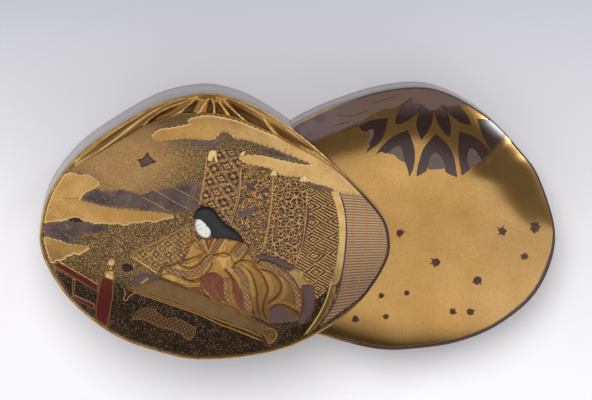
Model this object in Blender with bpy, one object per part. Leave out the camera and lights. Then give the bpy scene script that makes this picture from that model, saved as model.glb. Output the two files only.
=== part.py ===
# A small lacquered box in the form of two overlapping clam shells, with a lid that lifts off.
# The left shell of the lid is the inside of a shell, dished and ribbed at the hinge; the right one is the
# domed outside of a shell, set lower. Metres, +Z up, +Y towards the shells' hinge side, standing at z = 0.

import bpy
import bmesh
from mathutils import Vector

# Plan of the two shells
SHELL_LENGTH = 0.0830  # of the left shell
SHELL_DEPTH = 0.0634
RIGHT_LENGTH_SHARE = 1.019  # the right shell's size, as shares of the left one's
RIGHT_DEPTH_SHARE = 0.997
SHELL_SPACING = 0.0395  # between the middles of the shells, along X
SHELL_OFFSET = 0.0004  # the right shell's middle lies this far towards the hinge side

# Heights above the underside
PARTING_HEIGHT = 0.0110
LEFT_RIM_HEIGHT = 0.0300
RIGHT_RIM_HEIGHT = 0.0180
DISH_DEPTH = 0.0055  # of the left shell, below its rim
DOME_RISE = 0.0065  # of the right shell, above its rim

# Walls
WALL = 0.0025
FLOOR = 0.0025
CEILING = 0.0030  # of the lid, under the dish and the dome
DISH_COVER = 0.0004  # the right shell's crown and room stay this far below the dish and its ceiling
FOOT_ROUND = 0.0012
RIM_ROUND = 0.0006

# Inner lip of the base, which guides the lid
LIP_HEIGHT = 0.0035
LIP_THICKNESS = 0.0012
LIP_CLEARANCE = 0.0003
LID_GAP = 0.0003  # between the two edges at the parting

# Hinge plate and its ribs
PLATE_DROP = 0.0012  # its ground lies this far below the left rim
PLATE_MARGIN = 0.0012  # between the plate's outer edge and the shell's outline
RIB_RADIUS = 0.0010
RIDGE_RADIUS = 0.0005  # of the thin ridge along the plate's lower edge
RIB_SINK = 0.00015  # the middle lines of ribs and ridge lie this far below the plate's ground

# Low relief of the picture in the dish
CLOUD_LIFT = 0.0003
FIGURE_LIFT = 0.0007
FOLD_RADIUS = 0.0006  # of the robe's folds
KOTO_LIFT = 0.0005
RAIL_LIFT = 0.0005
BOOK_LIFT = 0.0003
RELIEF_ROOT = 0.0010  # how deep each raised piece reaches into the dish

# Fineness of the outlines, of the crowns and of the carved lines
OUTLINE_STEPS = 72
CROWN_RINGS = 7
CROWN_EASE = 1.8  # above 1 the rings crowd towards the rim, where the crown is steepest
CARVING_STEPS = 2

# Shape of the crowns, from the rim (share 1) to the middle (share 0)
DISH_POWER = 4.0
DOME_POWER = 2.3
DOME_FULLNESS = 0.72
DOME_PEAK_SHARES = (0.1, 0.2)  # where the dome is highest, as shares of the right shell's half sizes

# Outlines as shares of half the length and half the depth of a shell, anticlockwise from its right end
LEFT_OUTLINE_SHARES = [
    (1.0, -0.11), (0.943, 0.1), (0.713, 0.424), (0.485, 0.687), (0.257, 0.886), (0.086, 0.976),
    (-0.084, 1.0), (-0.312, 0.933), (-0.539, 0.773), (-0.767, 0.561), (-0.939, 0.278), (-1.0, -0.007),
    (-0.975, -0.247), (-0.828, -0.549), (-0.601, -0.795), (-0.373, -0.921), (-0.087, -1.0),
    (0.313, -0.948), (0.599, -0.799), (0.828, -0.57), (0.971, -0.296),
]
RIGHT_OUTLINE_SHARES = [
    (1.0, -0.15), (0.91, 0.298), (0.796, 0.52), (0.625, 0.76), (0.4, 0.945), (0.19, 1.0),
    (-0.11, 0.926), (-0.48, 0.715), (-0.82, 0.35), (-1.0, -0.08), (-0.86, -0.5), (-0.52, -0.79),
    (-0.25, -0.92), (0.005, -0.999), (0.233, -0.992), (0.46, -0.94), (0.687, -0.808), (0.902, -0.549),
]

# Lower edge of the hinge plate and the ribs on it, as shares of the left shell's half sizes
PLATE_EDGE_SHARES = [
    (-0.86, 0.38), (-0.6, 0.63), (-0.31, 0.795), (-0.077, 0.855), (0.145, 0.79), (0.37, 0.666),
    (0.6, 0.476), (0.82, 0.27),
]
RIB_SHARES = [
    ((-0.11, 0.95), (-0.45, 0.83), (-0.82, 0.44), 0.8),
    ((-0.1, 0.94), (-0.33, 0.85), (-0.6, 0.65), 0.7),
    ((-0.1, 0.94), (-0.22, 0.88), (-0.42, 0.75), 0.7),
    ((-0.09, 0.93), (-0.16, 0.89), (-0.24, 0.83), 0.7),
    ((-0.06, 0.93), (-0.08, 0.89), (-0.1, 0.85), 0.9),
    ((-0.02, 0.92), (-0.01, 0.89), (0.0, 0.84), 0.7),
    ((0.01, 0.93), (0.04, 0.89), (0.08, 0.82), 0.6),
    ((0.03, 0.94), (0.1, 0.88), (0.19, 0.77), 0.6),
    ((0.06, 0.94), (0.22, 0.86), (0.36, 0.68), 0.8),
    ((0.1, 0.94), (0.3, 0.81), (0.52, 0.57), 0.9),
]

# The picture's raised pieces, in the same shares
CLOUD_SHARES = {
    "cloud_top": [
        (-0.35, 0.66), (-0.27, 0.72), (-0.15, 0.76), (0.0, 0.82), (0.2, 0.76), (0.42, 0.64),
        (0.62, 0.46), (0.8, 0.25), (0.7, 0.23), (0.55, 0.29), (0.4, 0.37), (0.3, 0.42),
        (0.2, 0.44), (0.15, 0.5), (0.21, 0.53), (0.33, 0.51), (0.53, 0.46), (0.44, 0.54),
        (0.27, 0.63), (0.1, 0.68), (0.0, 0.64), (-0.15, 0.63), (-0.31, 0.63),
    ],
    "cloud_left": [
        (-0.88, 0.33), (-0.78, 0.41), (-0.65, 0.33), (-0.67, 0.27), (-0.76, 0.22), (-0.68, 0.14),
        (-0.45, 0.11), (-0.27, 0.08), (-0.37, 0.02), (-0.52, -0.01), (-0.77, 0.05), (-0.96, 0.04),
        (-0.96, 0.18),
    ],
    "cloud_low": [
        (-0.96, -0.09), (-0.83, -0.14), (-0.73, -0.16), (-0.76, -0.21), (-0.85, -0.24), (-0.93, -0.24),
    ],
}
ROBE_SHARES = [
    (-0.2, -0.26), (-0.13, -0.16), (-0.05, -0.11), (0.16, -0.12), (0.28, -0.25), (0.42, -0.34),
    (0.48, -0.5), (0.45, -0.67), (0.3, -0.69), (0.14, -0.66), (0.0, -0.57), (-0.09, -0.44), (-0.21, -0.37),
]
HAIR_SHARES = [
    (-0.1, 0.06), (-0.07, 0.12), (-0.02, 0.14), (0.05, 0.1), (0.2, -0.06), (0.25, -0.14),
    (0.06, -0.14), (-0.04, -0.02),
]
FOLD_SHARES = [
    ((0.16, -0.17), (0.28, -0.3), (0.4, -0.56), 0.9),
    ((0.11, -0.2), (0.21, -0.38), (0.27, -0.64), 1.0),
    ((0.06, -0.18), (0.11, -0.36), (0.15, -0.6), 1.0),
    ((0.0, -0.18), (-0.01, -0.34), (0.02, -0.53), 0.9),
    ((-0.04, -0.17), (-0.1, -0.28), (-0.18, -0.35), 0.9),
]
KOTO_SHARES = [(-0.5, -0.48), (-0.37, -0.38), (-0.08, -0.46), (0.31, -0.69), (0.36, -0.76), (0.33, -0.85)]
RAIL_SHARES = {
    "rail_beam": [(-0.93, -0.27), (-0.89, -0.26), (-0.66, -0.44), (-0.67, -0.49)],
    "rail_post": [(-0.65, -0.41), (-0.58, -0.41), (-0.62, -0.75), (-0.69, -0.68)],
    "rail_low_beam": [(-0.82, -0.51), (-0.8, -0.49), (-0.67, -0.58), (-0.68, -0.62)],
}
BOOK_SHARES = [
    (-0.48, -0.72), (-0.45, -0.65), (-0.4, -0.6), (-0.19, -0.7), (-0.1, -0.76), (-0.14, -0.87),
    (-0.25, -0.8), (-0.38, -0.74),
]


def curve_points(points, closed, steps):
    # A smooth curve through the points, with as many steps between each two
    count = len(points)
    result = []
    spans = count if closed else count - 1
    for i in range(spans):
        near = []
        for k in range(i - 1, i + 3):
            index = k % count if closed else min(max(k, 0), count - 1)
            near.append(Vector(points[index]))
        for step in range(steps):
            t = step / steps
            before, start, end, after = near
            result.append(0.5 * (2 * start + (end - before) * t
                                 + (2 * before - 5 * start + 4 * end - after) * t ** 2
                                 + (3 * start - before - 3 * end + after) * t ** 3))
    if not closed:
        result.append(Vector(points[-1]))
    return result


def even_ring(points, count):
    # The closed curve through the points, walked in equal steps
    fine = curve_points(points, True, 12)
    fine.append(fine[0].copy())
    lengths = [0.0]
    for i in range(1, len(fine)):
        lengths.append(lengths[-1] + (fine[i] - fine[i - 1]).length)
    ring = []
    at = 0
    for i in range(count):
        target = lengths[-1] * i / count
        while lengths[at + 1] < target:
            at += 1
        share = (target - lengths[at]) / (lengths[at + 1] - lengths[at])
        ring.append(fine[at].lerp(fine[at + 1], share))
    return ring


def middle_of(points):
    # The middle of the upright box around the points
    spans = [[point[axis] for point in points] for axis in (0, 1)]
    return Vector([(min(span) + max(span)) / 2 for span in spans])


class Shell:
    # One shell seen from above: its middle, its half sizes, its outline about the middle, and its peak,
    # which the rings of its crown close in on

    def __init__(self, outline, length, depth, middle, peak=(0, 0)):
        self.half = Vector((length / 2, depth / 2))
        self.middle = middle
        self.peak = Vector((peak[0] * self.half.x, peak[1] * self.half.y))
        ring = even_ring([(x * self.half.x, y * self.half.y) for x, y in outline], OUTLINE_STEPS)
        centre = middle_of(ring)
        fit_x = self.half.x / max(point.x - centre.x for point in ring)
        fit_y = self.half.y / max(point.y - centre.y for point in ring)
        self.outline = [Vector(((p.x - centre.x) * fit_x, (p.y - centre.y) * fit_y)) for p in ring]

    def ring(self, inset, share=1.0):
        # The outline moved inwards by inset, then drawn towards the peak to a share of its size
        count = len(self.outline)
        ring = []
        for i in range(count):
            along = self.outline[(i + 1) % count] - self.outline[i - 1]
            inward = Vector((-along.y, along.x)).normalized()
            edge = self.outline[i] + inward * inset
            ring.append(self.middle + self.peak.lerp(edge, share))
        return ring

    def place(self, x, y):
        # A point given as shares of the half sizes
        return self.middle + Vector((x * self.half.x, y * self.half.y))

    def share_at(self, point):
        # How far out a point lies, from 0 at the middle to 1 on the outline
        arm = point - self.middle
        for i in range(len(self.outline)):
            start = self.outline[i - 1]
            end = self.outline[i]
            if start.cross(arm) >= 0 > end.cross(arm) and (start + end).dot(arm) > 0:
                side = end - start
                return arm.cross(side) / start.cross(side)
        return 0.0

    def inner_share(self, inset):
        # The share of the outline that an inset ring stands at, near enough for the crowns
        return 1.0 - inset / self.half.y


def dish(share):
    return -DISH_DEPTH * (1 - share ** DISH_POWER)


def dome(share):
    return DOME_RISE * (1 - share ** DOME_POWER) ** DOME_FULLNESS


def crown_shares():
    # The rings of a crown, from just inside the rim towards the middle
    steps = CROWN_RINGS + 1
    return [1 - (ring / steps) ** CROWN_EASE for ring in range(1, steps)]


def shells_in_place():
    # Both shells, with the middle of the whole outline at the origin
    left = Shell(LEFT_OUTLINE_SHARES, SHELL_LENGTH, SHELL_DEPTH, Vector((0, 0)))
    aside = Vector((SHELL_SPACING, SHELL_OFFSET))
    length = SHELL_LENGTH * RIGHT_LENGTH_SHARE
    depth = SHELL_DEPTH * RIGHT_DEPTH_SHARE
    right = Shell(RIGHT_OUTLINE_SHARES, length, depth, aside, DOME_PEAK_SHARES)
    centre = middle_of(left.ring(0) + right.ring(0))
    left.middle = left.middle - centre
    right.middle = right.middle - centre
    return left, right


def collection(name):
    made = bpy.data.collections.new(name)
    bpy.context.scene.collection.children.link(made)
    return made


def material(name, colour, roughness, metallic):
    made = bpy.data.materials.new(name)
    made.use_nodes = True
    shader = made.node_tree.nodes["Principled BSDF"]
    shader.inputs["Base Color"].default_value = (*colour, 1)
    shader.inputs["Roughness"].default_value = roughness
    shader.inputs["Metallic"].default_value = metallic
    return made


def mesh_object(name, mesh, where):
    made = bpy.data.objects.new(name, mesh)
    where.objects.link(made)
    return made


def loft(name, rings, where):
    # One closed body through level rings given as (points, height), flat at both ends
    work = bmesh.new()
    loops = []
    for points, height in rings:
        loops.append([work.verts.new((p.x, p.y, height)) for p in points])
    for lower, upper in zip(loops, loops[1:]):
        count = len(lower)
        for i in range(count):
            following = (i + 1) % count
            work.faces.new((lower[i], lower[following], upper[following], upper[i]))
    work.faces.new(list(reversed(loops[0])))
    work.faces.new(loops[-1])
    mesh = bpy.data.meshes.new(name)
    work.to_mesh(mesh)
    work.free()
    return mesh_object(name, mesh, where)


def as_mesh(curve, where):
    # The curve object's closed mesh, its caps welded on, in place of the curve
    scene = bpy.context.scene
    scene.collection.objects.link(curve)
    bpy.context.view_layer.update()
    seen = curve.evaluated_get(bpy.context.evaluated_depsgraph_get())
    mesh = bpy.data.meshes.new_from_object(seen)
    work = bmesh.new()
    work.from_mesh(mesh)
    bmesh.ops.remove_doubles(work, verts=work.verts, dist=1e-6)
    work.to_mesh(mesh)
    work.free()
    made = mesh_object(curve.data.name, mesh, where)
    made.matrix_world = curve.matrix_world
    bpy.data.objects.remove(curve)
    return made


def slab(name, points, low, high, where):
    # A flat outline given a thickness from low to high
    data = bpy.data.curves.new(name, "CURVE")
    data.dimensions = "2D"
    data.fill_mode = "BOTH"
    data.extrude = (high - low) / 2
    spline = data.splines.new("POLY")
    spline.points.add(len(points) - 1)
    for target, point in zip(spline.points, points):
        target.co = (point.x, point.y, 0, 1)
    spline.use_cyclic_u = True
    curve = bpy.data.objects.new(name + "_curve", data)
    curve.location = (0, 0, (low + high) / 2)
    return as_mesh(curve, where)


def rod(name, points, radius, swell, where):
    # A round bar along the points, each with its own share of the radius
    data = bpy.data.curves.new(name, "CURVE")
    data.dimensions = "3D"
    data.bevel_depth = radius
    data.bevel_resolution = 1
    data.use_fill_caps = True
    spline = data.splines.new("POLY")
    spline.points.add(len(points) - 1)
    for target, point, size in zip(spline.points, points, swell):
        target.co = (*point, 1)
        target.radius = size
    return as_mesh(bpy.data.objects.new(name + "_curve", data), where)


def boolean(target, operation, tool):
    tool.hide_render = True
    tool.display_type = "WIRE"
    modifier = target.modifiers.new(tool.name, "BOOLEAN")
    modifier.operation = operation
    modifier.solver = "EXACT"
    modifier.object = tool


def base_rings(shell):
    # The outside of the base: rounded at the foot, upright to the parting
    return [
        (shell.ring(FOOT_ROUND), 0.0),
        (shell.ring(FOOT_ROUND * 0.3), FOOT_ROUND * 0.3),
        (shell.ring(0.0), FOOT_ROUND),
        (shell.ring(0.0), PARTING_HEIGHT),
    ]


def lid_rings(shell, rim, crown, lift=0.0):
    # The outside of the lid: upright to the rim, a small round, then the dish or the dome
    rings = [
        (shell.ring(0.0), PARTING_HEIGHT + LID_GAP),
        (shell.ring(0.0), rim - RIM_ROUND),
        (shell.ring(RIM_ROUND * 0.3), rim - RIM_ROUND * 0.3),
        (shell.ring(RIM_ROUND), rim),
    ]
    start = shell.inner_share(RIM_ROUND)
    for share in crown_shares():
        rings.append((shell.ring(RIM_ROUND, share), rim + lift + crown(share * start)))
    return rings


def above_dish(left, depth, name, cutters):
    # All that lies inside the left outline and above the dish lowered by the depth
    start = left.inner_share(WALL / 2)
    rings = []
    for share in reversed([1.0] + crown_shares()):
        ring = left.ring(WALL / 2, share)
        rings.append((ring, LEFT_RIM_HEIGHT + dish(share * start) - depth))
    rings.append((left.ring(WALL / 2), 2 * LEFT_RIM_HEIGHT))
    return loft(name, rings, cutters)


def cavity_rings(shell, rim, crown):
    # The room inside the lid, whose top follows the crown at the thickness of the ceiling
    start = shell.inner_share(WALL)
    rings = [(shell.ring(WALL), PARTING_HEIGHT - LID_GAP)]
    for share in [1.0] + crown_shares()[1::2]:
        rings.append((shell.ring(WALL, share), rim - CEILING + crown(share * start)))
    return rings


def make_base(left, right, parts, cutters):
    base = loft("box_base", base_rings(left), parts)
    boolean(base, "UNION", loft("base_right_shell", base_rings(right), cutters))
    for side, shell in (("left", left), ("right", right)):
        outer = shell.ring(WALL - LIP_THICKNESS)
        top = PARTING_HEIGHT + LIP_HEIGHT
        boolean(base, "UNION", slab("base_lip_" + side, outer, PARTING_HEIGHT / 2, top, cutters))
    for side, shell in (("left", left), ("right", right)):
        top = PARTING_HEIGHT + 2 * LIP_HEIGHT
        boolean(base, "DIFFERENCE", slab("base_room_" + side, shell.ring(WALL), FLOOR, top, cutters))
    base.data.materials.append(material("lacquer_dark", (0.05, 0.028, 0.024), 0.18, 0.0))
    return base


def hinge_plate(left, cutters):
    # The raised ground of the hinge, a crescent between the rim and its own lower edge
    edge = [left.place(x, y) for x, y in PLATE_EDGE_SHARES]
    lower = curve_points(edge, False, CARVING_STEPS)
    upper = [p for p in left.ring(PLATE_MARGIN) if p.y > left.middle.y]
    upper = [p for p in upper if lower[0].x < p.x < lower[-1].x]
    upper.sort(key=lambda p: p.x)
    top = LEFT_RIM_HEIGHT - PLATE_DROP
    return slab("hinge_plate", lower + list(reversed(upper)), top - CEILING, top, cutters)


def hinge_ribs(left, cutters):
    # Ribs that fan out from the hinge, thicker towards the plate's lower edge
    height = LEFT_RIM_HEIGHT - PLATE_DROP - RIB_SINK
    ribs = []
    for number, (start, bend, end, size) in enumerate(RIB_SHARES):
        path = curve_points([left.place(*p) for p in (start, bend, end)], False, CARVING_STEPS)
        points = [Vector((p.x, p.y, height)) for p in path]
        swell = [size * (0.55 + 0.45 * i / (len(points) - 1)) for i in range(len(points))]
        ribs.append(rod(f"rib_{number + 1}", points, RIB_RADIUS, swell, cutters))
    edge = curve_points([left.place(*p) for p in PLATE_EDGE_SHARES], False, CARVING_STEPS)
    points = [Vector((p.x, p.y, height)) for p in edge[1:-1]]
    ribs.append(rod("hinge_ridge", points, RIDGE_RADIUS, [1.0] * len(points), cutters))
    return ribs


def fold_rods(left, cutters):
    # The robe's folds, bars that lie half sunk along its raised ground
    rods = []
    for number, (start, bend, end, size) in enumerate(FOLD_SHARES):
        path = curve_points([left.place(*p) for p in (start, bend, end)], False, CARVING_STEPS)
        points = []
        for p in path:
            ground = LEFT_RIM_HEIGHT + dish(left.share_at(p)) + FIGURE_LIFT
            points.append(Vector((p.x, p.y, ground)))
        rods.append(rod(f"fold_{number + 1}", points, FOLD_RADIUS, [size] * len(points), cutters))
    return rods


def raised_pieces(left, cutters):
    # Each raised piece is its outline cut out of a copy of the dish that stands higher by the lift
    pieces = [(name, points, CLOUD_LIFT) for name, points in CLOUD_SHARES.items()]
    pieces += [(name, points, RAIL_LIFT) for name, points in RAIL_SHARES.items()]
    pieces.append(("koto", KOTO_SHARES, KOTO_LIFT))
    pieces.append(("book", BOOK_SHARES, BOOK_LIFT))
    pieces.append(("robe", ROBE_SHARES, FIGURE_LIFT))
    pieces.append(("hair", HAIR_SHARES, FIGURE_LIFT))
    raised = {}
    made = []
    for name, points, lift in pieces:
        if lift not in raised:
            rings = lid_rings(left, LEFT_RIM_HEIGHT, dish, lift)
            raised[lift] = loft(f"dish_raised_{len(raised) + 1}", rings, cutters)
        middle = LEFT_RIM_HEIGHT - DISH_DEPTH
        outline = [left.place(*p) for p in points]
        piece = slab(name, outline, middle - RELIEF_ROOT, LEFT_RIM_HEIGHT, cutters)
        boolean(piece, "INTERSECT", raised[lift])
        made.append(piece)
    return made


def make_lid(left, right, parts, cutters):
    lid = loft("box_lid", lid_rings(left, LEFT_RIM_HEIGHT, dish), parts)
    domed = loft("lid_right_shell", lid_rings(right, RIGHT_RIM_HEIGHT, dome), cutters)
    boolean(domed, "DIFFERENCE", above_dish(left, DISH_COVER, "space_over_dish", cutters))
    boolean(lid, "UNION", domed)
    boolean(lid, "UNION", hinge_plate(left, cutters))
    for carving in hinge_ribs(left, cutters) + raised_pieces(left, cutters) + fold_rods(left, cutters):
        boolean(lid, "UNION", carving)
    boolean(lid, "DIFFERENCE", loft("lid_room_left", cavity_rings(left, LEFT_RIM_HEIGHT, dish), cutters))
    room = loft("lid_room_right", cavity_rings(right, RIGHT_RIM_HEIGHT, dome), cutters)
    boolean(room, "DIFFERENCE", above_dish(left, CEILING + DISH_COVER, "space_over_ceiling", cutters))
    boolean(lid, "DIFFERENCE", room)
    for side, shell in (("left", left), ("right", right)):
        outer = shell.ring(WALL - LIP_THICKNESS - LIP_CLEARANCE)
        top = PARTING_HEIGHT + LIP_HEIGHT + LIP_CLEARANCE
        boolean(lid, "DIFFERENCE", slab("lid_seat_" + side, outer, PARTING_HEIGHT / 2, top, cutters))
    lid.data.materials.append(material("gold_lacquer", (0.5, 0.32, 0.12), 0.35, 0.6))
    return lid


def main():
    for old in list(bpy.data.objects):
        bpy.data.objects.remove(old)
    parts = collection("shell_box")
    cutters = collection("shell_box_cutters")
    left, right = shells_in_place()
    make_base(left, right, parts, cutters)
    make_lid(left, right, parts, cutters)


main()
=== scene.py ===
import math
import random
from bisect import bisect_right

import bmesh
import bpy
from mathutils import Matrix, Vector, geometry, kdtree


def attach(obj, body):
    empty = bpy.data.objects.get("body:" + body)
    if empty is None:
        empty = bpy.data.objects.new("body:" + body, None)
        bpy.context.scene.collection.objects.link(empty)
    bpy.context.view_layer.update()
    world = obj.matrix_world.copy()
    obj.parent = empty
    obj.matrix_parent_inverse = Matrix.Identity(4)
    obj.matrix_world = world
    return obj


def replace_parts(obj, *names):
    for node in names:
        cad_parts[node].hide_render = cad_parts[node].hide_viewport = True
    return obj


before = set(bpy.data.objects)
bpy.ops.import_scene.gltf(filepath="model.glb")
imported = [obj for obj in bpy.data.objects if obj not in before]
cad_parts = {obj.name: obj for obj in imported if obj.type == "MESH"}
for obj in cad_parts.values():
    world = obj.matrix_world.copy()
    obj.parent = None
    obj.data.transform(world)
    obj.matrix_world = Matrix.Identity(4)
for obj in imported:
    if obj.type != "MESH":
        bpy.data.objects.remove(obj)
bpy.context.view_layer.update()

shellValues = {
    "length": 83.0,
    "depth": 63.4,
    "rightLengthShare": 1.019,
    "rightDepthShare": 0.997,
    "spacing": 39.5,
    "offset": 0.4,
    "rightPeak": (0.1, 0.2),
    "steps": 288,
    "fineSteps": 24,
    "leftOutline": [
        (1.0, -0.11), (0.943, 0.1), (0.713, 0.424), (0.485, 0.687), (0.257, 0.886), (0.086, 0.976),
        (-0.084, 1.0), (-0.312, 0.933), (-0.539, 0.773), (-0.767, 0.561), (-0.939, 0.278), (-1.0, -0.007),
        (-0.975, -0.247), (-0.828, -0.549), (-0.601, -0.795), (-0.373, -0.921), (-0.087, -1.0),
        (0.313, -0.948), (0.599, -0.799), (0.828, -0.57), (0.971, -0.296),
    ],
    "rightOutline": [
        (1.0, -0.15), (0.91, 0.298), (0.796, 0.52), (0.625, 0.76), (0.4, 0.945), (0.19, 1.0),
        (-0.11, 0.926), (-0.48, 0.715), (-0.82, 0.35), (-1.0, -0.08), (-0.86, -0.5), (-0.52, -0.79),
        (-0.25, -0.92), (0.005, -0.999), (0.233, -0.992), (0.46, -0.94), (0.687, -0.808), (0.902, -0.549),
    ],
}

heightValues = {
    "parting": 11.0,
    "leftRim": 30.0,
    "rightRim": 18.0,
    "dishDepth": 5.5,
    "dishPower": 4.0,
    "domeRise": 6.5,
    "domePower": 2.3,
    "domeFullness": 0.72,
}


def curvePoints(points, closed, steps):
    # A smooth curve with as many steps between each two points; a point given twice is a corner
    last = len(points) - 1
    result = []
    for i in range(last + closed):
        near = [k % (last + 1) if closed else min(max(k, 0), last) for k in range(i - 1, i + 3)]
        before, start, end, after = [Vector(points[k]) for k in near]
        if start == end:
            continue
        for step in range(steps):
            t = step / steps
            result.append(0.5 * (2 * start + (end - before) * t
                                 + (2 * before - 5 * start + 4 * end - after) * t ** 2
                                 + (3 * start - before - 3 * end + after) * t ** 3))
    return result if closed else result + [Vector(points[-1])]


def evenRing(points, count):
    # The closed smooth curve through the points, walked in equal steps
    fine = curvePoints(points, True, shellValues["fineSteps"])
    fine.append(fine[0].copy())
    lengths = [0.0]
    for i in range(1, len(fine)):
        lengths.append(lengths[-1] + (fine[i] - fine[i - 1]).length)
    ring = []
    at = 0
    for i in range(count):
        target = lengths[-1] * i / count
        while lengths[at + 1] < target:
            at += 1
        ring.append(fine[at].lerp(fine[at + 1], (target - lengths[at]) / (lengths[at + 1] - lengths[at])))
    return ring


def middleOf(points):
    spans = [[point[axis] for point in points] for axis in (0, 1)]
    return Vector([(min(span) + max(span)) / 2 for span in spans])


def leftOf(along):
    # The direction to the left of a line that runs along
    return Vector((-along.y, along.x)).normalized()


class Shell:
    # One shell seen from above, its outline about its middle, and the height of its crown anywhere

    def __init__(self, outline, length, depth, middle, peak, crown):
        self.half = Vector((length / 2, depth / 2))
        self.middle = middle
        self.peak = Vector((peak[0] * self.half.x, peak[1] * self.half.y))
        self.crown = crown
        ring = evenRing([(x * self.half.x, y * self.half.y) for x, y in outline], shellValues["steps"])
        centre = middleOf(ring)
        fitX = self.half.x / max(point.x - centre.x for point in ring)
        fitY = self.half.y / max(point.y - centre.y for point in ring)
        self.outline = [Vector(((p.x - centre.x) * fitX, (p.y - centre.y) * fitY)) for p in ring]
        arms = sorted((math.atan2(p.y - self.peak.y, p.x - self.peak.x), (p - self.peak).length)
                      for p in self.outline)
        first, last = arms[0], arms[-1]
        arms = [(last[0] - math.tau, last[1])] + arms + [(first[0] + math.tau, first[1])]
        self.angles = [angle for angle, reach in arms]
        self.reaches = [reach for angle, reach in arms]

    def ring(self, inset, share=1.0):
        # The outline moved inwards by inset, then drawn towards the peak to a share of its size
        ring = []
        for i, point in enumerate(self.outline):
            along = self.outline[(i + 1) % len(self.outline)] - self.outline[i - 1]
            ring.append(self.middle + self.peak.lerp(point + leftOf(along) * inset, share))
        return ring

    def shareAt(self, x, y):
        # How far out a point lies, from 0 at the peak to 1 on the outline
        arm = Vector((x, y)) - self.middle - self.peak
        angle = math.atan2(arm.y, arm.x)
        at = bisect_right(self.angles, angle)
        low, high = self.angles[at - 1], self.angles[at]
        blend = (angle - low) / (high - low)
        return arm.length / (self.reaches[at - 1] * (1 - blend) + self.reaches[at] * blend)

    def height(self, x, y):
        return self.crown(min(self.shareAt(x, y), 1.0))

    def held(self, point, limit):
        # A point of the picture in the frame's millimetres, drawn back where it lies beyond the limit
        share = self.shareAt(*(self.middle + Vector(point)))
        arm = Vector(point) - self.peak
        return self.middle + self.peak + arm * min(1.0, limit / max(share, 0.001))


def dish(share):
    return heightValues["leftRim"] - heightValues["dishDepth"] * (1 - share ** heightValues["dishPower"])


def dome(share):
    swell = (1 - share ** heightValues["domePower"]) ** heightValues["domeFullness"]
    return heightValues["rightRim"] + heightValues["domeRise"] * swell


def shellsInPlace():
    length, depth = shellValues["length"], shellValues["depth"]
    left = Shell(shellValues["leftOutline"], length, depth, Vector((0, 0)), (0, 0), dish)
    aside = Vector((shellValues["spacing"], shellValues["offset"]))
    right = Shell(shellValues["rightOutline"], length * shellValues["rightLengthShare"],
                  depth * shellValues["rightDepthShare"], aside, shellValues["rightPeak"], dome)
    centre = middleOf(left.ring(0) + right.ring(0))
    left.middle = left.middle - centre
    right.middle = right.middle - centre
    return left, right


# Looks

lookValues = {
    "perMetre": 1000.0,
    "coatRoughness": 0.05,
    "bumpDepth": 0.0001,
    "grainCore": 0.6,
    "lineOuter": 0.4,
    "lineInner": 0.25,
}


def tone(red, green, blue):
    # A colour seen as three numbers from 0 to 255, in the renderer's own scale
    return [((c / 255 + 0.055) / 1.055) ** 2.4 if c > 10 else c / 255 / 12.92
            for c in (red, green, blue)] + [1.0]


class Wire:
    # One output of a node, which takes part in sums as a number would

    def __init__(self, nodes, socket):
        self.nodes = nodes
        self.socket = socket

    def math(self, operation, *values):
        return self.nodes.node("ShaderNodeMath", {"operation": operation}, dict(enumerate(values)))

    def __add__(self, other):
        return self.math("ADD", self, other)

    def __radd__(self, other):
        return self.math("ADD", other, self)

    def __sub__(self, other):
        return self.math("SUBTRACT", self, other)

    def __rsub__(self, other):
        return self.math("SUBTRACT", other, self)

    def __mul__(self, other):
        return self.math("MULTIPLY", self, other)

    def __rmul__(self, other):
        return self.math("MULTIPLY", other, self)

    def __truediv__(self, other):
        return self.math("DIVIDE", self, other)

    def __rtruediv__(self, other):
        return self.math("DIVIDE", other, self)

    def __abs__(self):
        return self.math("ABSOLUTE", self)

    def fract(self):
        return self.math("FRACT", self)

    def floor(self):
        return self.math("FLOOR", self)

    def most(self, other):
        return self.math("MAXIMUM", self, other)

    def least(self, other):
        return self.math("MINIMUM", self, other)

    def ramp(self, low, high):
        # 0 at low, 1 at high, and held beyond both
        inputs = {"Value": self, "From Min": low, "From Max": high}
        return self.nodes.node("ShaderNodeMapRange", {}, inputs)


class Nodes:
    # A node tree, and one way to add a node of any kind to it

    def __init__(self, tree):
        self.tree = tree

    def node(self, kind, settings, inputs, output=0):
        made = self.tree.nodes.new(kind)
        for key, value in settings.items():
            setattr(made, key, value)
        for key, value in inputs.items():
            self.feed(made.inputs[key], value)
        return Wire(self, made.outputs[output])

    def feed(self, socket, value):
        if isinstance(value, Wire):
            self.tree.links.new(value.socket, socket)
        else:
            socket.default_value = value

    def axes(self, place):
        return [self.node("ShaderNodeSeparateXYZ", {}, {0: place}, axis) for axis in "XYZ"]


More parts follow.
